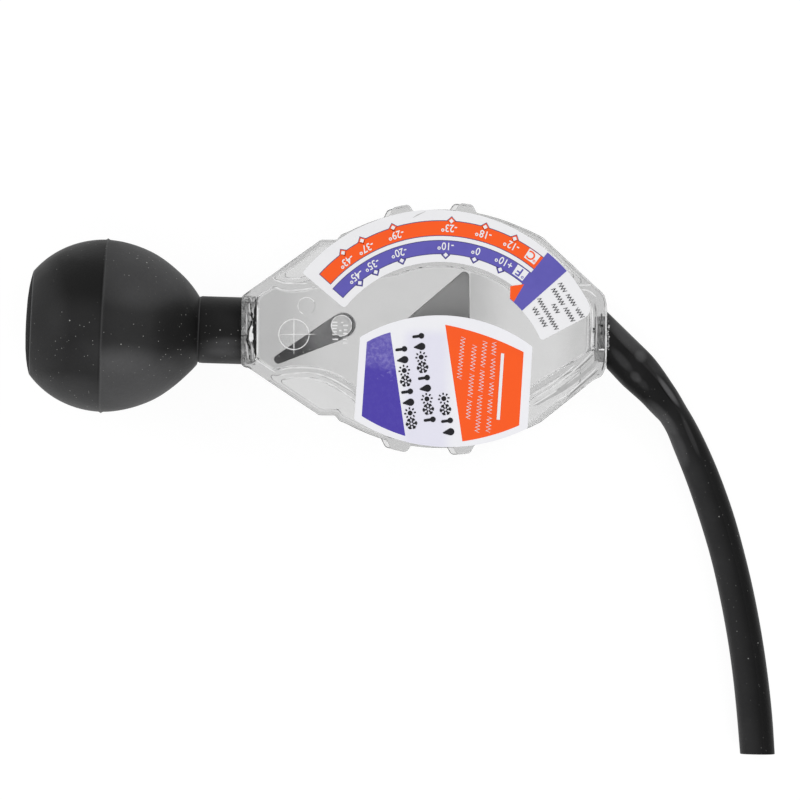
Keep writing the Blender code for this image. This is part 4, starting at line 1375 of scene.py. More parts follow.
# %% Geometry Nodes helper
class Grower:
    """A Geometry Nodes tree with named inputs."""

    def __init__(self, name, **inputs):
        self.tree = bpy.data.node_groups.new(name, "GeometryNodeTree")
        sockets = self.tree.interface
        for way in ("INPUT", "OUTPUT"):
            sockets.new_socket("Geometry", in_out=way, socket_type="NodeSocketGeometry")
        self.ids = {}
        for label, value in inputs.items():
            socket = sockets.new_socket(label, in_out="INPUT", socket_type="NodeSocketFloat")
            socket.default_value = value
            self.ids[label] = socket.identifier
        self.given = self.tree.nodes.new("NodeGroupInput")

    def input(self, label):
        return self.given.outputs[label]

    def add(self, kind, settings=None, sockets=None, output=0):
        node = self.tree.nodes.new(kind)
        for name, value in (settings or {}).items():
            setattr(node, name, value)
        for name, value in (sockets or {}).items():
            if isinstance(value, bpy.types.NodeSocket):
                self.tree.links.new(value, node.inputs[name])
            else:
                node.inputs[name].default_value = value
        return node.outputs[output]

    def maths(self, operation, a, b, c=0.0, clamp=False):
        settings = {"operation": operation, "use_clamp": clamp}
        return self.add("ShaderNodeMath", settings, {0: a, 1: b, 2: c})

    def named(self, attribute):
        """A number that each of the points carries."""
        return self.add("GeometryNodeInputNamedAttribute", {"data_type": "FLOAT"}, {"Name": attribute})

    def on_points(self, **sockets):
        """The instances of a shape on the points."""
        points = {"Points": self.input("Geometry")}
        return self.add("GeometryNodeInstanceOnPoints", {}, points | sockets)

    def ends_in(self, geometry, material):
        real = self.add("GeometryNodeRealizeInstances", {}, {"Geometry": geometry})
        coated = self.add("GeometryNodeSetMaterial", {}, {"Geometry": real, "Material": material})
        end = self.tree.nodes.new("NodeGroupOutput")
        self.tree.links.new(coated, end.inputs[0])
        return self

    def grow(self, base, **values):
        """Runs the tree on a mesh and gives its result as a plain mesh."""
        holder = linked("grown", base)
        step = holder.modifiers.new("grow", "NODES")
        step.node_group = self.tree
        for label, value in values.items():
            step[self.ids[label]] = value
        mesh = baked(holder)
        bpy.data.objects.remove(holder, do_unlink=True)
        bpy.data.meshes.remove(base)
        return mesh


def line_mesh(paths):
    """A mesh of bare edges: each path is (points, closed)."""
    points, edges = [], []
    for path, closed in paths:
        first = len(points)
        points += [tuple(point) for point in path]
        edges += [(first + i, first + i + 1) for i in range(len(path) - 1)]
        if closed:
            edges.append((len(points) - 1, first))
    mesh = bpy.data.meshes.new("lines")
    mesh.from_pydata(points, edges, [])
    return mesh


def point_mesh(points, **numbers):
    """Bare points, each with named numbers that the tree can read."""
    mesh = bpy.data.meshes.new("points")
    mesh.from_pydata([tuple(point) for point in points], [], [])
    for name, values in numbers.items():
        mesh.attributes.new(name, "FLOAT", "POINT").data.foreach_set("value", values)
    return mesh


# %% [markdown]
# ## Marks of the two scales
# The orange band is the Celsius scale and the blue band the Fahrenheit scale. Beside each number a
# small diamond stands on the band's edge: a dark outline, a point of the band's colour and a white
# middle. Each is a square turned on its corner. A tree puts one on every marked angle, turned to
# face the pivot, and runs once for each of the three sizes.

# %% Diamonds on the scales
ORANGE_MARKS = (  # angle of the diamond, number, how far the number is turned from it
    (127.2, "-43", 0.25), (119.3, "-37", -0.8), (107.4, "-29", -1.0),
    (86.6, "-23", -0.05), (74.5, "-18", -0.9), (63.3, "-12", -0.8),
)
BLUE_MARKS = (
    (129.2, "-45", -1.0), (120.6, "-35", -0.8), (107.9, "-20", -0.7),
    (88.1, "-10", -0.7), (75.2, "0", -0.6), (62.8, "+10", -0.85),
)


def diamond_tree(material):
    tree = Grower("diamonds", half=1.0, thick=SHEET)
    side = tree.maths("MULTIPLY", tree.input("half"), math.sqrt(2))
    size = tree.add("ShaderNodeCombineXYZ", {}, {"X": side, "Y": side, "Z": tree.input("thick")})
    block = tree.add("GeometryNodeMeshCube", {}, {"Size": size})
    turned_by = tree.maths("ADD", tree.named("heading"), math.pi / 4)
    spin = tree.add("ShaderNodeCombineXYZ", {}, {"Z": turned_by})
    return tree.ends_in(tree.on_points(Instance=block, Rotation=spin), material)


def diamonds(name, marks, radius, half, layer, ink):
    height = FILM_TOP + (layer - 0.7) * SHEET
    at = [(*on_arc(DIAL, radius, angle), height) for angle, *_ in marks]
    base = point_mesh(at, heading=[math.radians(angle) for angle, *_ in marks])
    printed(name, ink, diamond_tree(ink).grow(base, half=half, thick=THICK))


for name, marks, radius, line_half, half, ink in (
    ("orange", ORANGE_MARKS, 162.8 * P, 1.46, 1.2, LABEL_ORANGE),
    ("blue", BLUE_MARKS, 128.7 * P, 1.38, 1.0, LABEL_BLUE),
):
    diamonds(f"{name}_mark_outlines", marks, radius, line_half, 1, LABEL_LINE)
    diamonds(f"{name}_marks", marks, radius, half, 2, ink)
    diamonds(f"{name}_mark_middles", marks, radius, 0.72, 5, LABEL_WHITE)

# %% [markdown]
# ## Numbers on the scales
# The numbers are plain figures, set so that they read with the bulb up. Blender's own font is thin,
# so each figure is thickened by an offset. Every number is made once as text, turned into a mesh,
# and laid on its band with its top toward the pivot. The degree marks are small rings.

# %% Numbers and unit letters
CAP_SHARE = 0.69                    # height of a figure as a share of the font's size
FIGURE_HEIGHT, LETTER_HEIGHT = 2.2, 2.5
FIGURE_WEIGHT, LETTER_WEIGHT, FIGURE_SQUEEZE = 0.018, 0.03, 0.88
RING_RADIUS, RING_WIDTH, RING_RIGHT, RING_UP = 0.16, 0.13, 0.34, 0.78   # of the degree mark, per height


def lettering(text, height, weight):
    """Text as a flat mesh with its lower middle at the origin, thickened by a share of its height."""
    curve = bpy.data.curves.new("lettering", "FONT")
    curve.body, curve.size = text, height / CAP_SHARE
    curve.align_x, curve.offset = "CENTER", weight * height
    curve.extrude, curve.resolution_u = THICK / 2, 4
    holder = linked("lettering", curve)
    mesh = baked(holder)
    bpy.data.objects.remove(holder, do_unlink=True)
    bpy.data.curves.remove(curve)
    shape = bmesh.new()
    shape.from_mesh(mesh)
    bpy.data.meshes.remove(mesh)
    bmesh.ops.remove_doubles(shape, verts=shape.verts, dist=0.0005)
    return shape


def laid(shape, place, right, layer, squeeze=1.0):
    """Lays a flat shape on the label, with its own X toward the right direction."""
    right = np.array(right) / np.linalg.norm(right)
    up = left_of(right)
    for vert in shape.verts:
        x, y, z = vert.co
        at = np.array(place) + right * x * squeeze + up * y
        vert.co = (*at, z + FILM_TOP + (layer - 0.7) * SHEET)
    return shape


def degree_ring(radius, width):
    outer, inner = circle((0, 0), radius + width / 2, 20), circle((0, 0), radius - width / 2, 20)
    corners = (inner, 1), (outer, 1), (outer, -1), (inner, -1), (inner, 1)
    return lofted([level_ring(ring, THICK / 2 * side) for ring, side in corners], closed_ends=False)


def foot_and_ways(angle, radius, height):
    """Where text of that height stands on its band, its reading direction and its upward one."""
    right = left_of(heading_at(math.radians(angle)))
    return np.array(on_arc(DIAL, radius + height / 2, angle)), right, left_of(right)


def number(text, angle, radius, height):
    """A number with its degree mark, its foot toward the label's rim."""
    foot, right, up = foot_and_ways(angle, radius, height)
    figure = laid(lettering(text, height, FIGURE_WEIGHT), foot, right, 6, FIGURE_SQUEEZE)
    wide = max(vert.co.xy.dot(Vector(right)) for vert in figure.verts) - float(foot @ right)
    ring = degree_ring(height * RING_RADIUS, height * RING_WIDTH)
    bmesh.ops.remove_doubles(ring, verts=ring.verts, dist=0.0005)
    return [figure, laid(ring, foot + right * (wide + height * RING_RIGHT) + up * height * RING_UP, right, 6)]


figures = []
for marks, radius, bent in ((ORANGE_MARKS, 155.3 * P, 0.055), (BLUE_MARKS, 137.2 * P, 0.03)):
    for angle, text, turned in marks:
        inward = max(0.0, angle - 95) * bent * P      # the bands' numbers bend inward to the left
        figures += number(text, angle + turned, radius - inward, FIGURE_HEIGHT)
printed("scale_numbers", LABEL_WHITE, merged(figures))
print(len(figures), "figures and rings")


def boxed_letter(name, text, radius, angles, inner, outer, ink):
    printed(f"{name}_box", LABEL_WHITE, sheet(ring_sector(inner, outer, *angles, 8), 5))
    foot, right, up = foot_and_ways(sum(angles) / 2, radius, LETTER_HEIGHT)
    letter = laid(lettering(text, LETTER_HEIGHT, LETTER_WEIGHT), foot + right * 0.35, right, 7)
    ring = laid(degree_ring(0.3, 0.2), foot - right * 1.25 + up * 2.0, right, 7)
    printed(f"{name}_letter", ink, merged([letter, ring]))


boxed_letter("celsius", "C", 156.7 * P, (57.0, 52.3), 151.3 * P, 162.2 * P, LABEL_ORANGE)
boxed_letter("fahrenheit", "F", 136.6 * P, (57.4, 51.9), 131.3 * P, 142.2 * P, LABEL_BLUE)

# %% [markdown]
# ## The pointer and the level indicator
# Two pieces swing in the chamber. The pointer is a grey moulded vane whose straight right edge
# catches the light. The level indicator is a dark teardrop. Both have softly rounded rims. They lie
# behind the clear shell, which takes away part of their light, so their colours are written lighter
# than they look.

# %% Swinging pieces
POINTER_ANGLE, POINTER_LENGTH, POINTER_TIP = math.radians(77.8), 34.3, 1.5
VANE_RIGHT, VANE_LEFT, VANE_SHOULDER, SHOULDER_ROUND, VANE_RIGHT_FOOT = 9.0, 13.3, 17.8, 2.4, 9.5
VANE_HEEL, VANE_THICKNESS, HUB_RADIUS = 20.0, 2.4, 3.6
WEIGHT_AT, WEIGHT_RADIUS = DIAL + np.array((3.6, 11.5)), 2.3
VANE_ROUND, DROP_ROUND = 0.35, 0.4
LEVEL_ANGLE, LEVEL_LENGTH, LEVEL_HEAD, LEVEL_TIP = math.radians(208.2), 21.9, 3.9, 1.3


def pebble(outline, low, high, round_by):
    """A flat piece with both of its rims rounded; the outline runs clockwise."""
    rings = []
    for a in np.linspace(-math.pi / 2, math.pi / 2, 10):
        inset = round_by * (1 - math.cos(a))
        z = low + round_by * (1 + math.sin(a)) if a < 0 else high - round_by * (1 - math.sin(a))
        rings.append(level_ring(offset_outline(outline, -inset), z))
    return lofted(rings)


def clockwise(outline):
    points = np.array(outline)
    after = np.roll(points, -1, axis=0)
    turning = np.sum(points[:, 0] * after[:, 1] - after[:, 0] * points[:, 1])
    return list(outline) if turning < 0 else list(reversed(outline))


def vane_outline():
    """The pointer's vane: tip, straight right edge, foot on the hub, left shoulder."""
    tip = DIAL + (POINTER_LENGTH - POINTER_TIP) * heading_at(POINTER_ANGLE)
    shoulder = DIAL + np.array((-VANE_LEFT + SHOULDER_ROUND, VANE_SHOULDER - SHOULDER_ROUND))
    edge = tip - shoulder
    tilt = math.degrees(math.atan2(edge[1], edge[0])) + 90
    right = DIAL[0] + VANE_RIGHT - tip[0]
    tip_arc = arc(tip, POINTER_TIP, tilt, math.degrees(math.acos(min(1.0, right / POINTER_TIP))), 12)
    heel = arc(DIAL, HUB_RADIUS - 0.3, -VANE_HEEL, VANE_HEEL - 180, 24)
    shoulder_arc = arc(shoulder, SHOULDER_ROUND, 180 + VANE_HEEL, tilt, 12)
    return tip_arc + [(DIAL[0] + VANE_RIGHT, DIAL[1] + VANE_RIGHT_FOOT)] + heel + shoulder_arc


def drop_outline():
    """The teardrop: two circles joined by their outer tangents."""
    tip = LEVEL + LEVEL_LENGTH * heading_at(LEVEL_ANGLE)
    heading = math.degrees(LEVEL_ANGLE)
    lean = math.degrees(math.acos((LEVEL_HEAD - LEVEL_TIP) / LEVEL_LENGTH))
    head = arc(LEVEL, LEVEL_HEAD, heading + lean, heading - lean + 360, 56)
    return head + arc(tip, LEVEL_TIP, heading - lean, heading + lean, 20)


def vane_mesh():
    vane = pebble(clockwise(vane_outline()), HUB_FRONT - VANE_THICKNESS, HUB_FRONT, VANE_ROUND)
    hub = prism(circle(DIAL, HUB_RADIUS, 64), -HUB_REAR, HUB_FRONT - 0.02)
    bore = prism(circle(DIAL, POINTER_BORE, 40), -HUB_REAR - OPEN, HUB_FRONT + OPEN)
    seat = prism(circle(WEIGHT_AT, WEIGHT_RADIUS), HUB_FRONT - VANE_THICKNESS - OPEN, HUB_FRONT + OPEN)
    return carved("vane", vane, [("UNION", hub), ("DIFFERENCE", bore), ("DIFFERENCE", seat)])


def drop_mesh():
    drop = pebble(clockwise(drop_outline()), -LEVEL_REAR, LEVEL_FRONT, DROP_ROUND)
    bore = prism(circle(LEVEL, LEVEL_BORE, 40), -LEVEL_REAR - OPEN, LEVEL_FRONT + OPEN)
    return carved("drop", drop, [("DIFFERENCE", bore)])


def grey_vane():
    finish = Finish("pointer_grey")
    x, y, z = finish.on_tester()
    cloud = finish.noise(70, 3, 0.6).band(0.35, 0.7)
    fine = finish.noise(1500, 1)
    shade = cloud * 0.3 + fine * 0.15 + y.band(14, -4) * 0.25
    grey = finish.mix(shade, (0.76, 0.76, 0.76), (0.6, 0.6, 0.6))
    return finish.done(grey, cloud * 0.1 + 0.42, fine, 0.00003)


def dark_drop():
    """The teardrop's plastic: pale at its head, a painted reflection, dark toward its tip, with pale seeds in
    it.
    """
    finish = Finish("level_dark")
    x, y, z = finish.on_tester()
    toward_tip = heading_at(LEVEL_ANGLE).tolist()
    run = (x - float(LEVEL[0])) * toward_tip[0] + (y - float(LEVEL[1])) * toward_tip[1]
    cloud = finish.noise(260, 3, 0.65).band(0.4, 0.75)
    seeds = finish.specks(1100, 0.34, 0.2, 0.8)
    # painted reflection: pale near the head, fading to the dark plastic toward the tip
    body = finish.mix(run.band(15.5, 6), seen_as(78, 78, 80), seen_as(208, 208, 210))
    worn = finish.mix(cloud * 0.35, body, seen_as(150, 150, 152))
    return finish.done(finish.mix(seeds * 0.7, worn, grey_as(205)), cloud * 0.15 + 0.4, cloud, 0.00005)


def small_metal(name, colour, roughness):
    finish = Finish(name)
    turned_lines = finish.noise(2400, 2, 0.5, finish.stretched((1.0, 1.0, 12.0))).band(0.35, 0.7)
    worn = finish.mix(turned_lines * 0.5, colour, tuple(v * 0.7 for v in colour))
    return finish.done(worn, turned_lines * 0.15 + roughness, turned_lines, 0.00001, Metallic=1.0)


pointer = piece("pointer_vane", vane_mesh(), grey_vane(), body="pointer", flats=True)
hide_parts("float_pointer")
drop = piece("level_drop", drop_mesh(), dark_drop(), body="level", flats=True)
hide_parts("level_indicator")
STEEL = small_metal("pin_steel", (0.62, 0.62, 0.63), 0.25)
BRASS = small_metal("weight_brass", (0.7, 0.55, 0.28), 0.3)
for node, metal in (("pointer_pin", STEEL), ("level_pin", STEEL), ("pointer_weight", BRASS)):
    held = bpy.data.objects[node]
    held.data.materials.clear()
    held.data.materials.append(metal)

# %% [markdown]
# ## Lines of the mould
# In clear plastic the foot of each wall shows as a thin pale line beside a grey one, where its round catches
# or loses the light: these are drawn as matt strokes of painted highlight and painted shade. The lines follow
# paths measured on the photograph. One tree turns bare paths into thin strokes that taper at both ends. It
# also draws the raised sighting mark, the short bars of painted highlight on the round boss, the cracks of
# the glue and the small print.

# %% Strokes along paths
def stroke_tree(material):
    tree = Grower("strokes", wide=0.3, high=0.05, taper=8.0, uneven=0.3)
    curve = tree.add("GeometryNodeMeshToCurve", {}, {"Mesh": tree.input("Geometry")})
    upright = tree.add("GeometryNodeSetCurveNormal", {"mode": "Z_UP"}, {"Curve": curve})
    share = tree.add("GeometryNodeSplineParameter", {}, {}, "Factor")
    from_end = tree.maths("MINIMUM", share, tree.maths("SUBTRACT", 1.0, share))
    steep = tree.maths("MULTIPLY", from_end, tree.input("taper"))
    full = tree.maths("ADD", steep, 0.3, clamp=True)
    place = tree.add("GeometryNodeInputPosition")
    noise = tree.add("ShaderNodeTexNoise", {}, {"Vector": place, "Scale": 0.55, "Detail": 1.0})
    swing = tree.maths("MULTIPLY", tree.maths("SUBTRACT", noise, 0.5), tree.input("uneven"))
    size = tree.maths("MULTIPLY", full, tree.maths("MULTIPLY_ADD", swing, 3.0, 1.0))
    section = {"Width": tree.input("wide"), "Height": tree.input("high")}
    outline = tree.add("GeometryNodeCurvePrimitiveQuadrilateral", {}, section)
    body = {"Curve": upright, "Profile Curve": outline, "Scale": size, "Fill Caps": True}
    return tree.ends_in(tree.add("GeometryNodeCurveToMesh", {}, body), material)


def strokes(name, paths, finish, wide, high=0.05, taper=8.0, uneven=0.3):
    """Strokes along paths of (x, y, z) in the tester's millimetres."""
    base = line_mesh([(path, False) for path in paths])
    mesh = stroke_tree(finish).grow(base, wide=wide, high=high, taper=taper, uneven=uneven)
    return piece(name, mesh, finish, flats=True)


def drawn(pixels, height):
    """A smooth path through places on the photograph, at a height over the mid-plane."""
    flat = smooth_through([at_pixel(px, py, height) for px, py in pixels], 8)
    return [(x, y, height) for x, y in flat]


def matt_marks(name, tone, deep):
    """A matt stroke whose tone comes and goes: the painted highlight and painted shade lines on the clear
    plastic, and the glue's marks, cracks and beads.
    """
    finish = Finish(name)
    patch = finish.noise(420, 3, 0.6).band(0.35, 0.7)
    worn = finish.mix(patch, grey_as(tone), grey_as(deep))
    return finish.done(worn, patch * 0.2 + 0.45, patch, 0.00004, Specular_IOR_Level=0.3)


# painted highlight lines and painted shade lines on the clear plastic
HIGHLIGHT_LINE = matt_marks("highlight_line", 233, 212)
SHADE_LINE = matt_marks("shade_line", 176, 192)
FACE_Z = HALF_DEPTH + 0.005
MOULD_HIGHLIGHT_PATHS = (
    (
        (272.9, 277.3), (274.6, 279.6), (277.5, 280.9), (284.4, 282.9), (292.4, 283.4),
        (300, 283.5), (307.2, 283.7),
    ),
    ((279.2, 273.3), (280.2, 276.2), (282.2, 278.1), (285, 278.6), (292.4, 278.7), (301, 278.0)),
    (
        (273.4, 286.9), (276.8, 287.7), (280.3, 289.1), (285.5, 290.2), (292.4, 290.4),
        (298.5, 290), (303.9, 289.4), (312.5, 287.6),
    ),
    (
        (279.8, 370.3), (286, 368.7), (293, 367.8), (306.3, 367.6), (322, 369.5),
        (334.5, 373.2), (345.3, 378.2),
    ),
    (
        (278.1, 376.3), (282.5, 374.9), (288, 374), (305.5, 372.6), (317.9, 374),
        (331.2, 378.6), (342.8, 384.8), (354.4, 392.5),
    ),
    (
        (285.5, 378.8), (290.5, 377.7), (297.2, 377.6), (308, 378.2), (326.2, 382.3),
        (338.6, 389), (354.4, 399.8),
    ),
    ((256.8, 360.4), (265.8, 366.2), (275.4, 372.5)),
    ((257.6, 304), (257.5, 318), (257.4, 334), (257.3, 357)),
    ((530.2, 396.1), (541, 389.8), (552.6, 382.8), (567.4, 371.6), (575, 364.6)),
    ((529.7, 401.1), (543, 392.9), (556.1, 384.9), (570.2, 373.7), (584.2, 360.7), (591.9, 352.2)),
    ((528.8, 407.4), (538.6, 401.8), (549.1, 395.4), (558.5, 389.2)),
    ((556.5, 401), (564.9, 396.2), (575.7, 387.4), (586.4, 377.6), (597.2, 367.6)),
    ((590.9, 284.9), (585, 285.1), (578.9, 285.1)),
    ((581.4, 289.6), (587, 290.4), (591.6, 292.7), (596.2, 297)),
    ((592, 307), (592.4, 320), (591.9, 334), (591.6, 350)),
    ((605.3, 303), (605.9, 312), (606, 330), (605.9, 352), (605.5, 362)),
)
MOULD_SHADE_PATHS = (
    ((285.2, 270.4), (290.2, 266.6), (295.3, 263), (307.9, 252.8), (319.8, 244)),
    ((277.6, 384.6), (280.8, 387.6), (284, 390.2)),
    ((566, 262.2), (577, 272.4), (588.9, 283.3)),
    ((596.3, 307.5), (596.6, 322), (596.4, 338), (596.2, 351)),
    ((586.4, 309), (586.8, 322), (586.3, 338), (585.6, 352)),
    ((534, 404.2), (549, 395.2), (566, 383.6), (580, 371.5), (591, 360.8)),
)
# painted shade lines where the walls by the mouth are seen edge on
WALL_PAINTED_SHADE_PATHS = (  # where the walls by the mouth are seen edge on
    ((594.6, 303), (596.2, 313), (597.2, 323), (596.2, 336), (595.3, 347)),
    ((591, 328), (591.3, 338), (591.4, 349)),
    ((593, 354.6), (586.4, 361.2), (577.3, 368.7), (564.9, 374.8), (554.9, 381.1)),
    ((598, 370.3), (586.4, 380.3), (574.8, 390.2), (567.4, 397.7)),
)
# a wide band of painted shade beside the walls by the mouth
SHADE_PATHS = (
    ((598, 360.4), (589.8, 368.7), (579.8, 377), (567.4, 386.1), (554.6, 393.6), (541, 401.2), (531, 406)),
)
for name, paths, under, finish, wide in (  # under: how far below the face, so that none lies in another
    ("wall_shade", SHADE_PATHS, 0.008, matt_marks("wall_shade", 176, 186), 1.15),
    ("wall_lines", WALL_PAINTED_SHADE_PATHS, 0.006, matt_marks("wall_shade_line", 138, 158), 0.42),
    ("pale_mould_lines", MOULD_HIGHLIGHT_PATHS, 0, HIGHLIGHT_LINE, 0.4),
    ("grey_mould_lines", MOULD_SHADE_PATHS, 0.004, SHADE_LINE, 0.34),
):
    strokes(name, [drawn(path, FACE_Z - under) for path in paths], finish, wide)

# %% The sighting mark and the round boss over the level indicator
CROSS, CROSS_RADIUS = at_pixel(293.9, 334.4, FACE_Z), 15.1 * P
HUB_AT, HUB_RING = at_pixel(341.6, 325.4, FACE_Z), 10.2 * P
VENT_AT, VENT_RING = at_pixel(306.5, 306, FACE_Z), 8.6 * P


def ring_path(centre, radius, start=0, end=360):
    return [(x, y, FACE_Z) for x, y in arc(centre, radius, start, end, 64)]


def bar_path(start, end):
    a, b = at_pixel(*start, FACE_Z), at_pixel(*end, FACE_Z)
    return [(*(a + (b - a) * t), FACE_Z) for t in np.linspace(0, 1, 6)]


# the sighting mark and the boss's rings are drawn in painted highlight, the boss's shaded side in painted
# shade
bars = bar_path((280, 334.6), (316, 334.2)), bar_path((293.9, 316.5), (293.9, 354.4))
strokes("sighting_mark", [ring_path(CROSS, CROSS_RADIUS), *bars], HIGHLIGHT_LINE, 0.3, taper=40.0, uneven=0.4)
bright = [ring_path(HUB_AT, HUB_RING), ring_path(VENT_AT, VENT_RING, 20, 250)]
strokes("hub_boss_ring", bright, HIGHLIGHT_LINE, 0.22, taper=14.0, uneven=0.8)
shaded = [ring_path(HUB_AT + (0.5, 0.1), 12.6 * P, -95, 140), ring_path(VENT_AT, VENT_RING, -60, 60)]
strokes("boss_shade", shaded, SHADE_LINE, 0.26)


def frosted_face():
    """The boss's face: rubbed matt in patches, so that it veils what lies under it."""
    finish = Finish("boss_frost")
    patch = finish.noise(900, 3, 0.65).band(0.35, 0.65)
    rubbed = finish.mix(patch, grey_as(225), grey_as(205))
    return finish.done(rubbed, patch * 0.2 + 0.5, patch, 0.00004, Alpha=patch * 0.25 + 0.5)


disc = prism(circle(HUB_AT, HUB_RING - 0.1, 64), HALF_DEPTH - 0.01, HALF_DEPTH + 0.012)
piece("boss_face", disc, frosted_face(), flats=True)
# short bars of painted highlight where the boss's embossed letters catch the light
EMBOSSED_HIGHLIGHT_BARS = (  # rows of short bars: where each starts, how long it is, in pixels
    (332.3, 322.4, 5.3), (332.3, 325.6, 5.5), (332.4, 328.5, 4.4), (332.4, 331.8, 4.6), (332.3, 334.5, 5.0),
    (332.4, 339.4, 5.6), (343.0, 325.5, 5.2), (343.8, 329.9, 3.6), (343.0, 333.5, 4.6), (342.6, 339.4, 4.2),
    (343.2, 343.3, 4.6), (339.0, 330.6, 2.6), (341.0, 322.6, 2.4), (339.2, 336.0, 2.8),
)
bars = [((x, y), (x + long / 2, y - 0.1), (x + long, y)) for x, y, long in EMBOSSED_HIGHLIGHT_BARS]
strokes("embossed_dashes", [drawn(path, FACE_Z + 0.02) for path in bars], HIGHLIGHT_LINE, 0.44, taper=12.0)

# %% [markdown]
# ## Glue
# The bulb's neck and the hose are held in the body by a clear glue that has dried, cracked and
# frosted. Between the neck and the collar it fills a thin sleeve, and the black end of the neck shows
# beyond it. At the mouth it fills the gap round the hose and has run out in small beads.

# %% Glue
def sleeve(middle, inner, outer, start, end, sides=96, lumps=0.0, seed=3, creep=0.0):
    """A tube along X, slightly uneven outside, whose end has crept further at its sides."""
    chance = np.random.default_rng(seed)
    phases = chance.uniform(0, 2 * math.pi, 6)

    def ring(x, radius, rough):
        points = []
        for a in np.linspace(0, 2 * math.pi, sides, endpoint=False):
            waves = (a * (5 + 4 * i) + x * (0.9 + 0.3 * i) + phase for i, phase in enumerate(phases))
            r = radius + rough * sum(math.sin(wave) for wave in waves) / 4
            reach = creep * min(1.0, abs(math.sin(a)) / 0.86) ** 2.5 * (x - start) / (end - start)
            points.append((x + reach, middle + r * math.sin(a), r * math.cos(a)))
        return points

    xs = np.linspace(start, end, 10)
    rings = [ring(x, outer - (0.1 if i in (0, len(xs) - 1) else 0.0), lumps) for i, x in enumerate(xs)]
    rings += [ring(x, inner, 0.0) for x in (end, start)]
    return lofted([*rings, rings[0]], closed_ends=False)


def frosted_glue(name, greys, blob_at, blob_size, scale=1.0, thin_ends=(-50, 50)):
    """Dried glue: grey streaks round the joint, dark cracks, a pale lump and thin clear ends."""
    finish = Finish(name)
    x, y, z = finish.on_tester()
    streaked = finish.stretched((1.0, 0.2, 0.2))
    streak = finish.noise(2300 * scale, 3, 0.6, streaked, 0.8).band(0.36, 0.64)
    cloud = finish.noise(700 * scale, 3, 0.6).band(0.35, 0.65)
    cells = finish.cells(480 * scale, "Distance", "DISTANCE_TO_EDGE", finish.stretched((1.0, 0.3, 0.3)))
    crack = cells.band(0.045, 0.015) * finish.noise(300 * scale, 1).band(0.5, 0.6)
    from_x, from_y = (x - float(blob_at[0])) / blob_size[0], (y - float(blob_at[1])) / blob_size[1]
    blob = (from_x**2 + from_y**2 + (finish.noise(1500, 2) - 0.5) * 1.6).band(1.25, 0.6)
    dark, light = ((tone, tone, tone) for tone in greys)
    cracked = finish.mix(crack * 0.8, finish.mix(streak * 0.6 + cloud * 0.4, dark, light), (0.03, 0.03, 0.03))
    low, high = thin_ends
    thin = (y.band(high, high + 0.8) + y.band(low, low - 0.8)) * 0.7
    colour = finish.mix(blob * 0.9 + thin, cracked, (0.97, 0.97, 0.97))
    return finish.done(colour, streak * 0.25 + 0.25, streak, 0.00012)


NECK_GLUE = frosted_glue("neck_glue", (0.3, 0.95), at_pixel(251.2, 333.6, 10), (0.8, 2.6))
MOUTH_GLUE = frosted_glue(
    "mouth_glue", (0.25, 0.75), at_pixel(601.5, 349.6, 6), (0.8, 0.35), scale=0.8, thin_ends=(-5.8, 1.6),
)
GLUE_OVER = 0.07                    # the glue reaches this far into the plastic, so that no gap shows
neck_sleeve = sleeve(
    COLLAR_MIDDLE, 9.72, COLLAR_BORE + GLUE_OVER, BODY_LEFT + 0.05, -51.5, lumps=0.03, creep=0.88,
)
neck_glue = piece("neck_glue", neck_sleeve, NECK_GLUE, sharp_from=60)
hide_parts("bulb_seal")
mouth_sleeve = sleeve(
    -HOSE_DROP, HOSE_RADIUS + 0.02, MOUTH_BORE + GLUE_OVER, MOUTH_X - MOUTH_DEPTH - 0.05, MOUTH_X - 0.05,
    sides=72, lumps=0.04, seed=8,
)
mouth_glue = piece("mouth_glue", mouth_sleeve, MOUTH_GLUE, sharp_from=60)
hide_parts("hose_seal")
CRACKS = (
    ((250.6, 303.5), (250.3, 306), (250.6, 309.5)),
    ((250.6, 312), (252, 313.2), (251.4, 315.6), (252.6, 317.6), (253.6, 319.6)),
    (
        (251.8, 321.5), (250.6, 325), (249.4, 327.8), (248.2, 330.2), (247.8, 336), (246.9, 340.6),
        (247.8, 343.6), (249.2, 347), (249.6, 350.6),
    ),
    ((249.4, 355), (249.8, 359)),
)


def on_sleeve(pixels, middle, radius):
    path = []
    for px, py in pixels:
        x, y = at_pixel(px, py, radius)
        path.append((x, y, math.sqrt(radius**2 - (y - middle) ** 2)))
    return [tuple(point) for point in smooth_through(path, 5)]


cracks = [on_sleeve(path, COLLAR_MIDDLE, COLLAR_BORE + 0.1) for path in CRACKS]
strokes("glue_cracks", cracks, matt_marks("crack_dark", 24, 40), 0.36, taper=5.0, uneven=0.9)

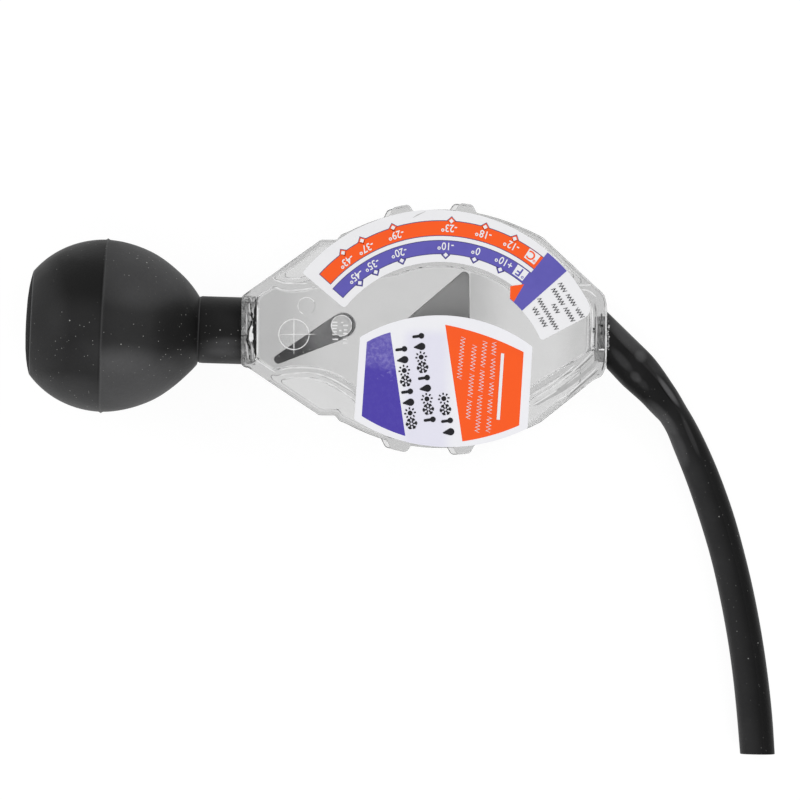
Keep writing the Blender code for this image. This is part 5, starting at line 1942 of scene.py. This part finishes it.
FACE_MARKS = (  # tones, width in mm, taper, paths in pixels: what the glue shows through the plastic
    ("streak_pale", (196, 176), 0.42, 3.0, (
        ((246.3, 313), (246.7, 320), (246.4, 328), (247, 335)),
        ((245.6, 341), (246.6, 346), (247.4, 352), (248.4, 361)),
        ((249.6, 303), (249.3, 309), (249.5, 313)),
        ((253.3, 306), (252.8, 311), (253.4, 315.5), (252.6, 319)),
        ((251.2, 343), (252.4, 349), (252.6, 356), (253.4, 361)),
        ((243.4, 299.5), (245.4, 298), (248, 299)),
        ((249, 297), (251.4, 299.4), (252, 302)),
        ((254.3, 298), (253.4, 302)),
        ((244, 363), (248, 364.6), (252, 364.2), (256, 361.6)),
        ((244, 296), (249, 295.4), (255, 296.4)),
        ((249.6, 315.5), (250.5, 318.5), (249.6, 321)),
    )),
    ("blob_white", (242, 226), 0.75, 9.0, (
        ((252.4, 325.6), (251.4, 329), (250.6, 332.6), (250.4, 336), (250.6, 340), (252.6, 341)),
        ((251.8, 333), (252.6, 336.6), (252.4, 340)),
    )),
    ("seat_black", (6, 16), 0.85, 2.6, (
        ((255.5, 302), (255.1, 316), (254.7, 332), (254.8, 344), (255.4, 358.5)),
    )),
    ("gap_black", (18, 34), 0.5, 5.0, (
        ((251.8, 320.8), (250.8, 324.6), (249.8, 327.6)),
        ((251, 312.6), (252.4, 314), (251.8, 316.4), (253.2, 319.4), (254.4, 320.4)),
        ((247.7, 339.6), (247.9, 343.4), (249.4, 346.4), (250, 349.4)),
        ((600.4, 326), (602, 325.7), (603.6, 325.2)),
        ((600.8, 325), (603.2, 326.6)),
    )),
    ("gap_grey", (84, 104), 0.4, 5.0, (
        ((604.6, 351.6), (604.3, 358), (603.4, 365), (601.8, 371)),
        ((601.6, 313), (601.4, 318), (601.8, 322)),
        ((598, 374.4), (598.4, 375.2)),
        ((603.6, 329), (603.2, 336), (603.8, 343)),
    )),
    ("bar_white", (244, 232), 0.36, 40.0, (((598.6, 349.8), (601, 349.6), (604.6, 349.8)),)),
)
for layer, (name, tones, wide, taper, paths) in enumerate(FACE_MARKS):
    shown = [drawn(path, FACE_Z + 0.004 * layer) for path in paths]
    strokes(name, shown, matt_marks(name, *tones), wide, taper=taper, uneven=0.5)

# %% [markdown]
# ## Small print without words
# The labels carry lines of small print. Their words aren't copied: each line is a row of zigzag
# strokes of the same height and length. The three large words become rows of plain pictures that
# suit any coolant tester: a drop, a thermometer, a snowflake and a sun. A white bar stands beside
# the small print as on the real label.

# %% Small print and pictures
WORD_GAP = 0.9


def scribble(start, end, height, pitch, seed, words):
    """Zigzag strokes in place of a line of words, from start to end, as (x, y) in millimetres."""
    chance = np.random.default_rng(seed)
    start, end = np.array(start, dtype=float), np.array(end, dtype=float)
    length = float(np.linalg.norm(end - start))
    out = (end - start) / length
    shares = chance.uniform(0.7, 1.3, words)
    sizes = shares / shares.sum() * (length - WORD_GAP * (words - 1))
    run, paths = 0.0, []
    for size in sizes:
        count = max(2, int(size / pitch))
        path = []
        for i in range(count + 1):
            rise = height * (0.5 if i % 2 else -0.5) * chance.uniform(0.75, 1.0)
            path.append(start + out * (run + size * i / count) + left_of(out) * rise)
        paths.append(path)
        run += size + WORD_GAP
    return paths


def print_rows(name, finish, height, pitch, wide, rows):
    """Rows of zigzag print, each from pixel to pixel with a number of words."""
    paths = []
    for count, (start, end, words) in enumerate(rows):
        for path in scribble(*on_label(start, end), height, pitch, 70 + count, words):
            paths.append([(*point, FILM_TOP + 5.5 * SHEET) for point in path])
    strokes(name, paths, finish, wide, high=SHEET, taper=80.0, uneven=0.2)


print_rows("panel_small_print", LABEL_WHITE, 1.5, 0.5, 0.32, (
    ((459, 379), (463.2, 337), 1), ((468, 419), (474.6, 345), 3),
    ((477.2, 432.5), (485, 341), 3), ((488.2, 432.5), (494.6, 342), 5),
))
print_rows("flap_small_print", LABEL_INK, 1.4, 0.42, 0.5, (
    ((583, 317.6), (559.5, 282.9), 3), ((573.6, 321.4), (552.9, 288.5), 2), ((558.5, 313), (553, 304), 1),
    ((557.2, 329.6), (538.6, 298.4), 1), ((546.1, 326.6), (533.6, 307.6), 2),
))
white_bar = on_label((501.1, 353.2), (504.2, 353.6), (499.8, 419.9), (496.6, 419.5))
printed("white_bar", LABEL_WHITE, sheet(white_bar, 6))
# the crease in the label film, drawn as a painted shade line
crease = [(*place, FILM_TOP) for place in on_label((413, 217.6), (418, 214.8), (425.5, 211.4))]
strokes("label_crease", [crease], SHADE_LINE, 0.28, high=0.06)


def bar_outline(start, end, width):
    start, end = np.array(start), np.array(end)
    side = left_of(end - start) / np.linalg.norm(end - start) * width / 2
    return [tuple(start + side), tuple(end + side), tuple(end - side), tuple(start - side)]


def snowflake():
    shapes = []
    for turn_by in np.radians(np.arange(30, 390, 60)):
        out = heading_at(turn_by)
        shapes.append(bar_outline(out * 0.1, out * 0.5, 0.13))
        for lean in (-0.7, 0.7):
            tip = heading_at(turn_by + lean)
            shapes.append(bar_outline(out * 0.27 + tip * 0.08, out * 0.27 + tip * 0.22, 0.11))
    return shapes


def sun():
    rays = [heading_at(a) for a in np.linspace(0, 2 * math.pi, 8, endpoint=False)]
    return [circle((0, 0), 0.21, 24)] + [bar_outline(ray * 0.32, ray * 0.5, 0.13) for ray in rays]


def thermometer():
    return [arc((0, -0.27), 0.24, 120, 420, 24) + arc((0, 0.4), 0.12, 0, 180, 10)]


def drop_picture():
    return [arc((0, -0.17), 0.31, 155, 385, 24) + [(0.04, 0.5), (-0.04, 0.5)]]


PICTURES = (snowflake, thermometer, drop_picture, sun)
PICTURE_HEIGHT = 3.5
PICTURE_ROWS = (  # from pixel, to pixel, how many and which comes first
    ((412.3, 429), (400.6, 344), 8, 0),
    ((430.5, 425), (417.6, 331), 9, 1),
    ((449.6, 437.6), (443.0, 393), 4, 2),
)


def picture_row(start, end, count, first):
    """Pictures side by side from start to end, their tops to the left of that direction."""
    start, end = (np.array(place) for place in on_label(start, end))
    right_way, shapes = end - start, []
    for i in range(count):
        place = start + right_way * (i + 0.5) / count
        for outline in PICTURES[(i * 3 + first) % 4]():
            scaled = [(x * PICTURE_HEIGHT, y * PICTURE_HEIGHT) for x, y in outline]
            shapes.append(laid(prism(scaled, -THICK / 2, THICK / 2), place, right_way, 4))
    return shapes


pictures = [shape for row in PICTURE_ROWS for shape in picture_row(*row)]
printed("label_pictures", LABEL_INK, merged(pictures))

# %% [markdown]
# ## Beads of glue at the mouth
# Where the hose leaves the body, some glue has run out and set as a row of small beads on the
# rubber. A tree puts spheres on bare points, each with its own size.

# %% Glue beads
BEAD_RADIUS = 0.22


def bead_tree(material):
    tree = Grower("beads", radius=0.3)
    bead = tree.add("GeometryNodeMeshIcoSphere", {}, {"Radius": tree.input("radius"), "Subdivisions": 3})
    return tree.ends_in(tree.on_points(Instance=bead, Scale=tree.named("size")), material)


chance = np.random.default_rng(12)
places = []
for y in np.linspace(-9.6, 4.0, 46):
    y += chance.uniform(-0.2, 0.2)
    x = MOUTH_X - 0.05 + chance.uniform(-0.1, 0.6)
    places.append((x, y, 5.5 * math.sqrt(max(0.05, 1 - ((y + HOSE_DROP) / 7.8) ** 2)) + 0.05))
BEAD_GLUE = matt_marks("bead_glue", 205, 90)
sizes = [chance.uniform(0.9, 1.7) if -6 < y < 2 else chance.uniform(0.3, 0.8) for _, y, _ in places]
base = point_mesh(places, size=sizes)
mesh = bead_tree(BEAD_GLUE).grow(base, radius=BEAD_RADIUS)
piece("glue_beads", mesh, BEAD_GLUE, sharp_from=180)

model_low, model_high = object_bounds()
sizes = {"cad": [list(cad_low), list(cad_high)], "model": [list(model_low), list(model_high)]}
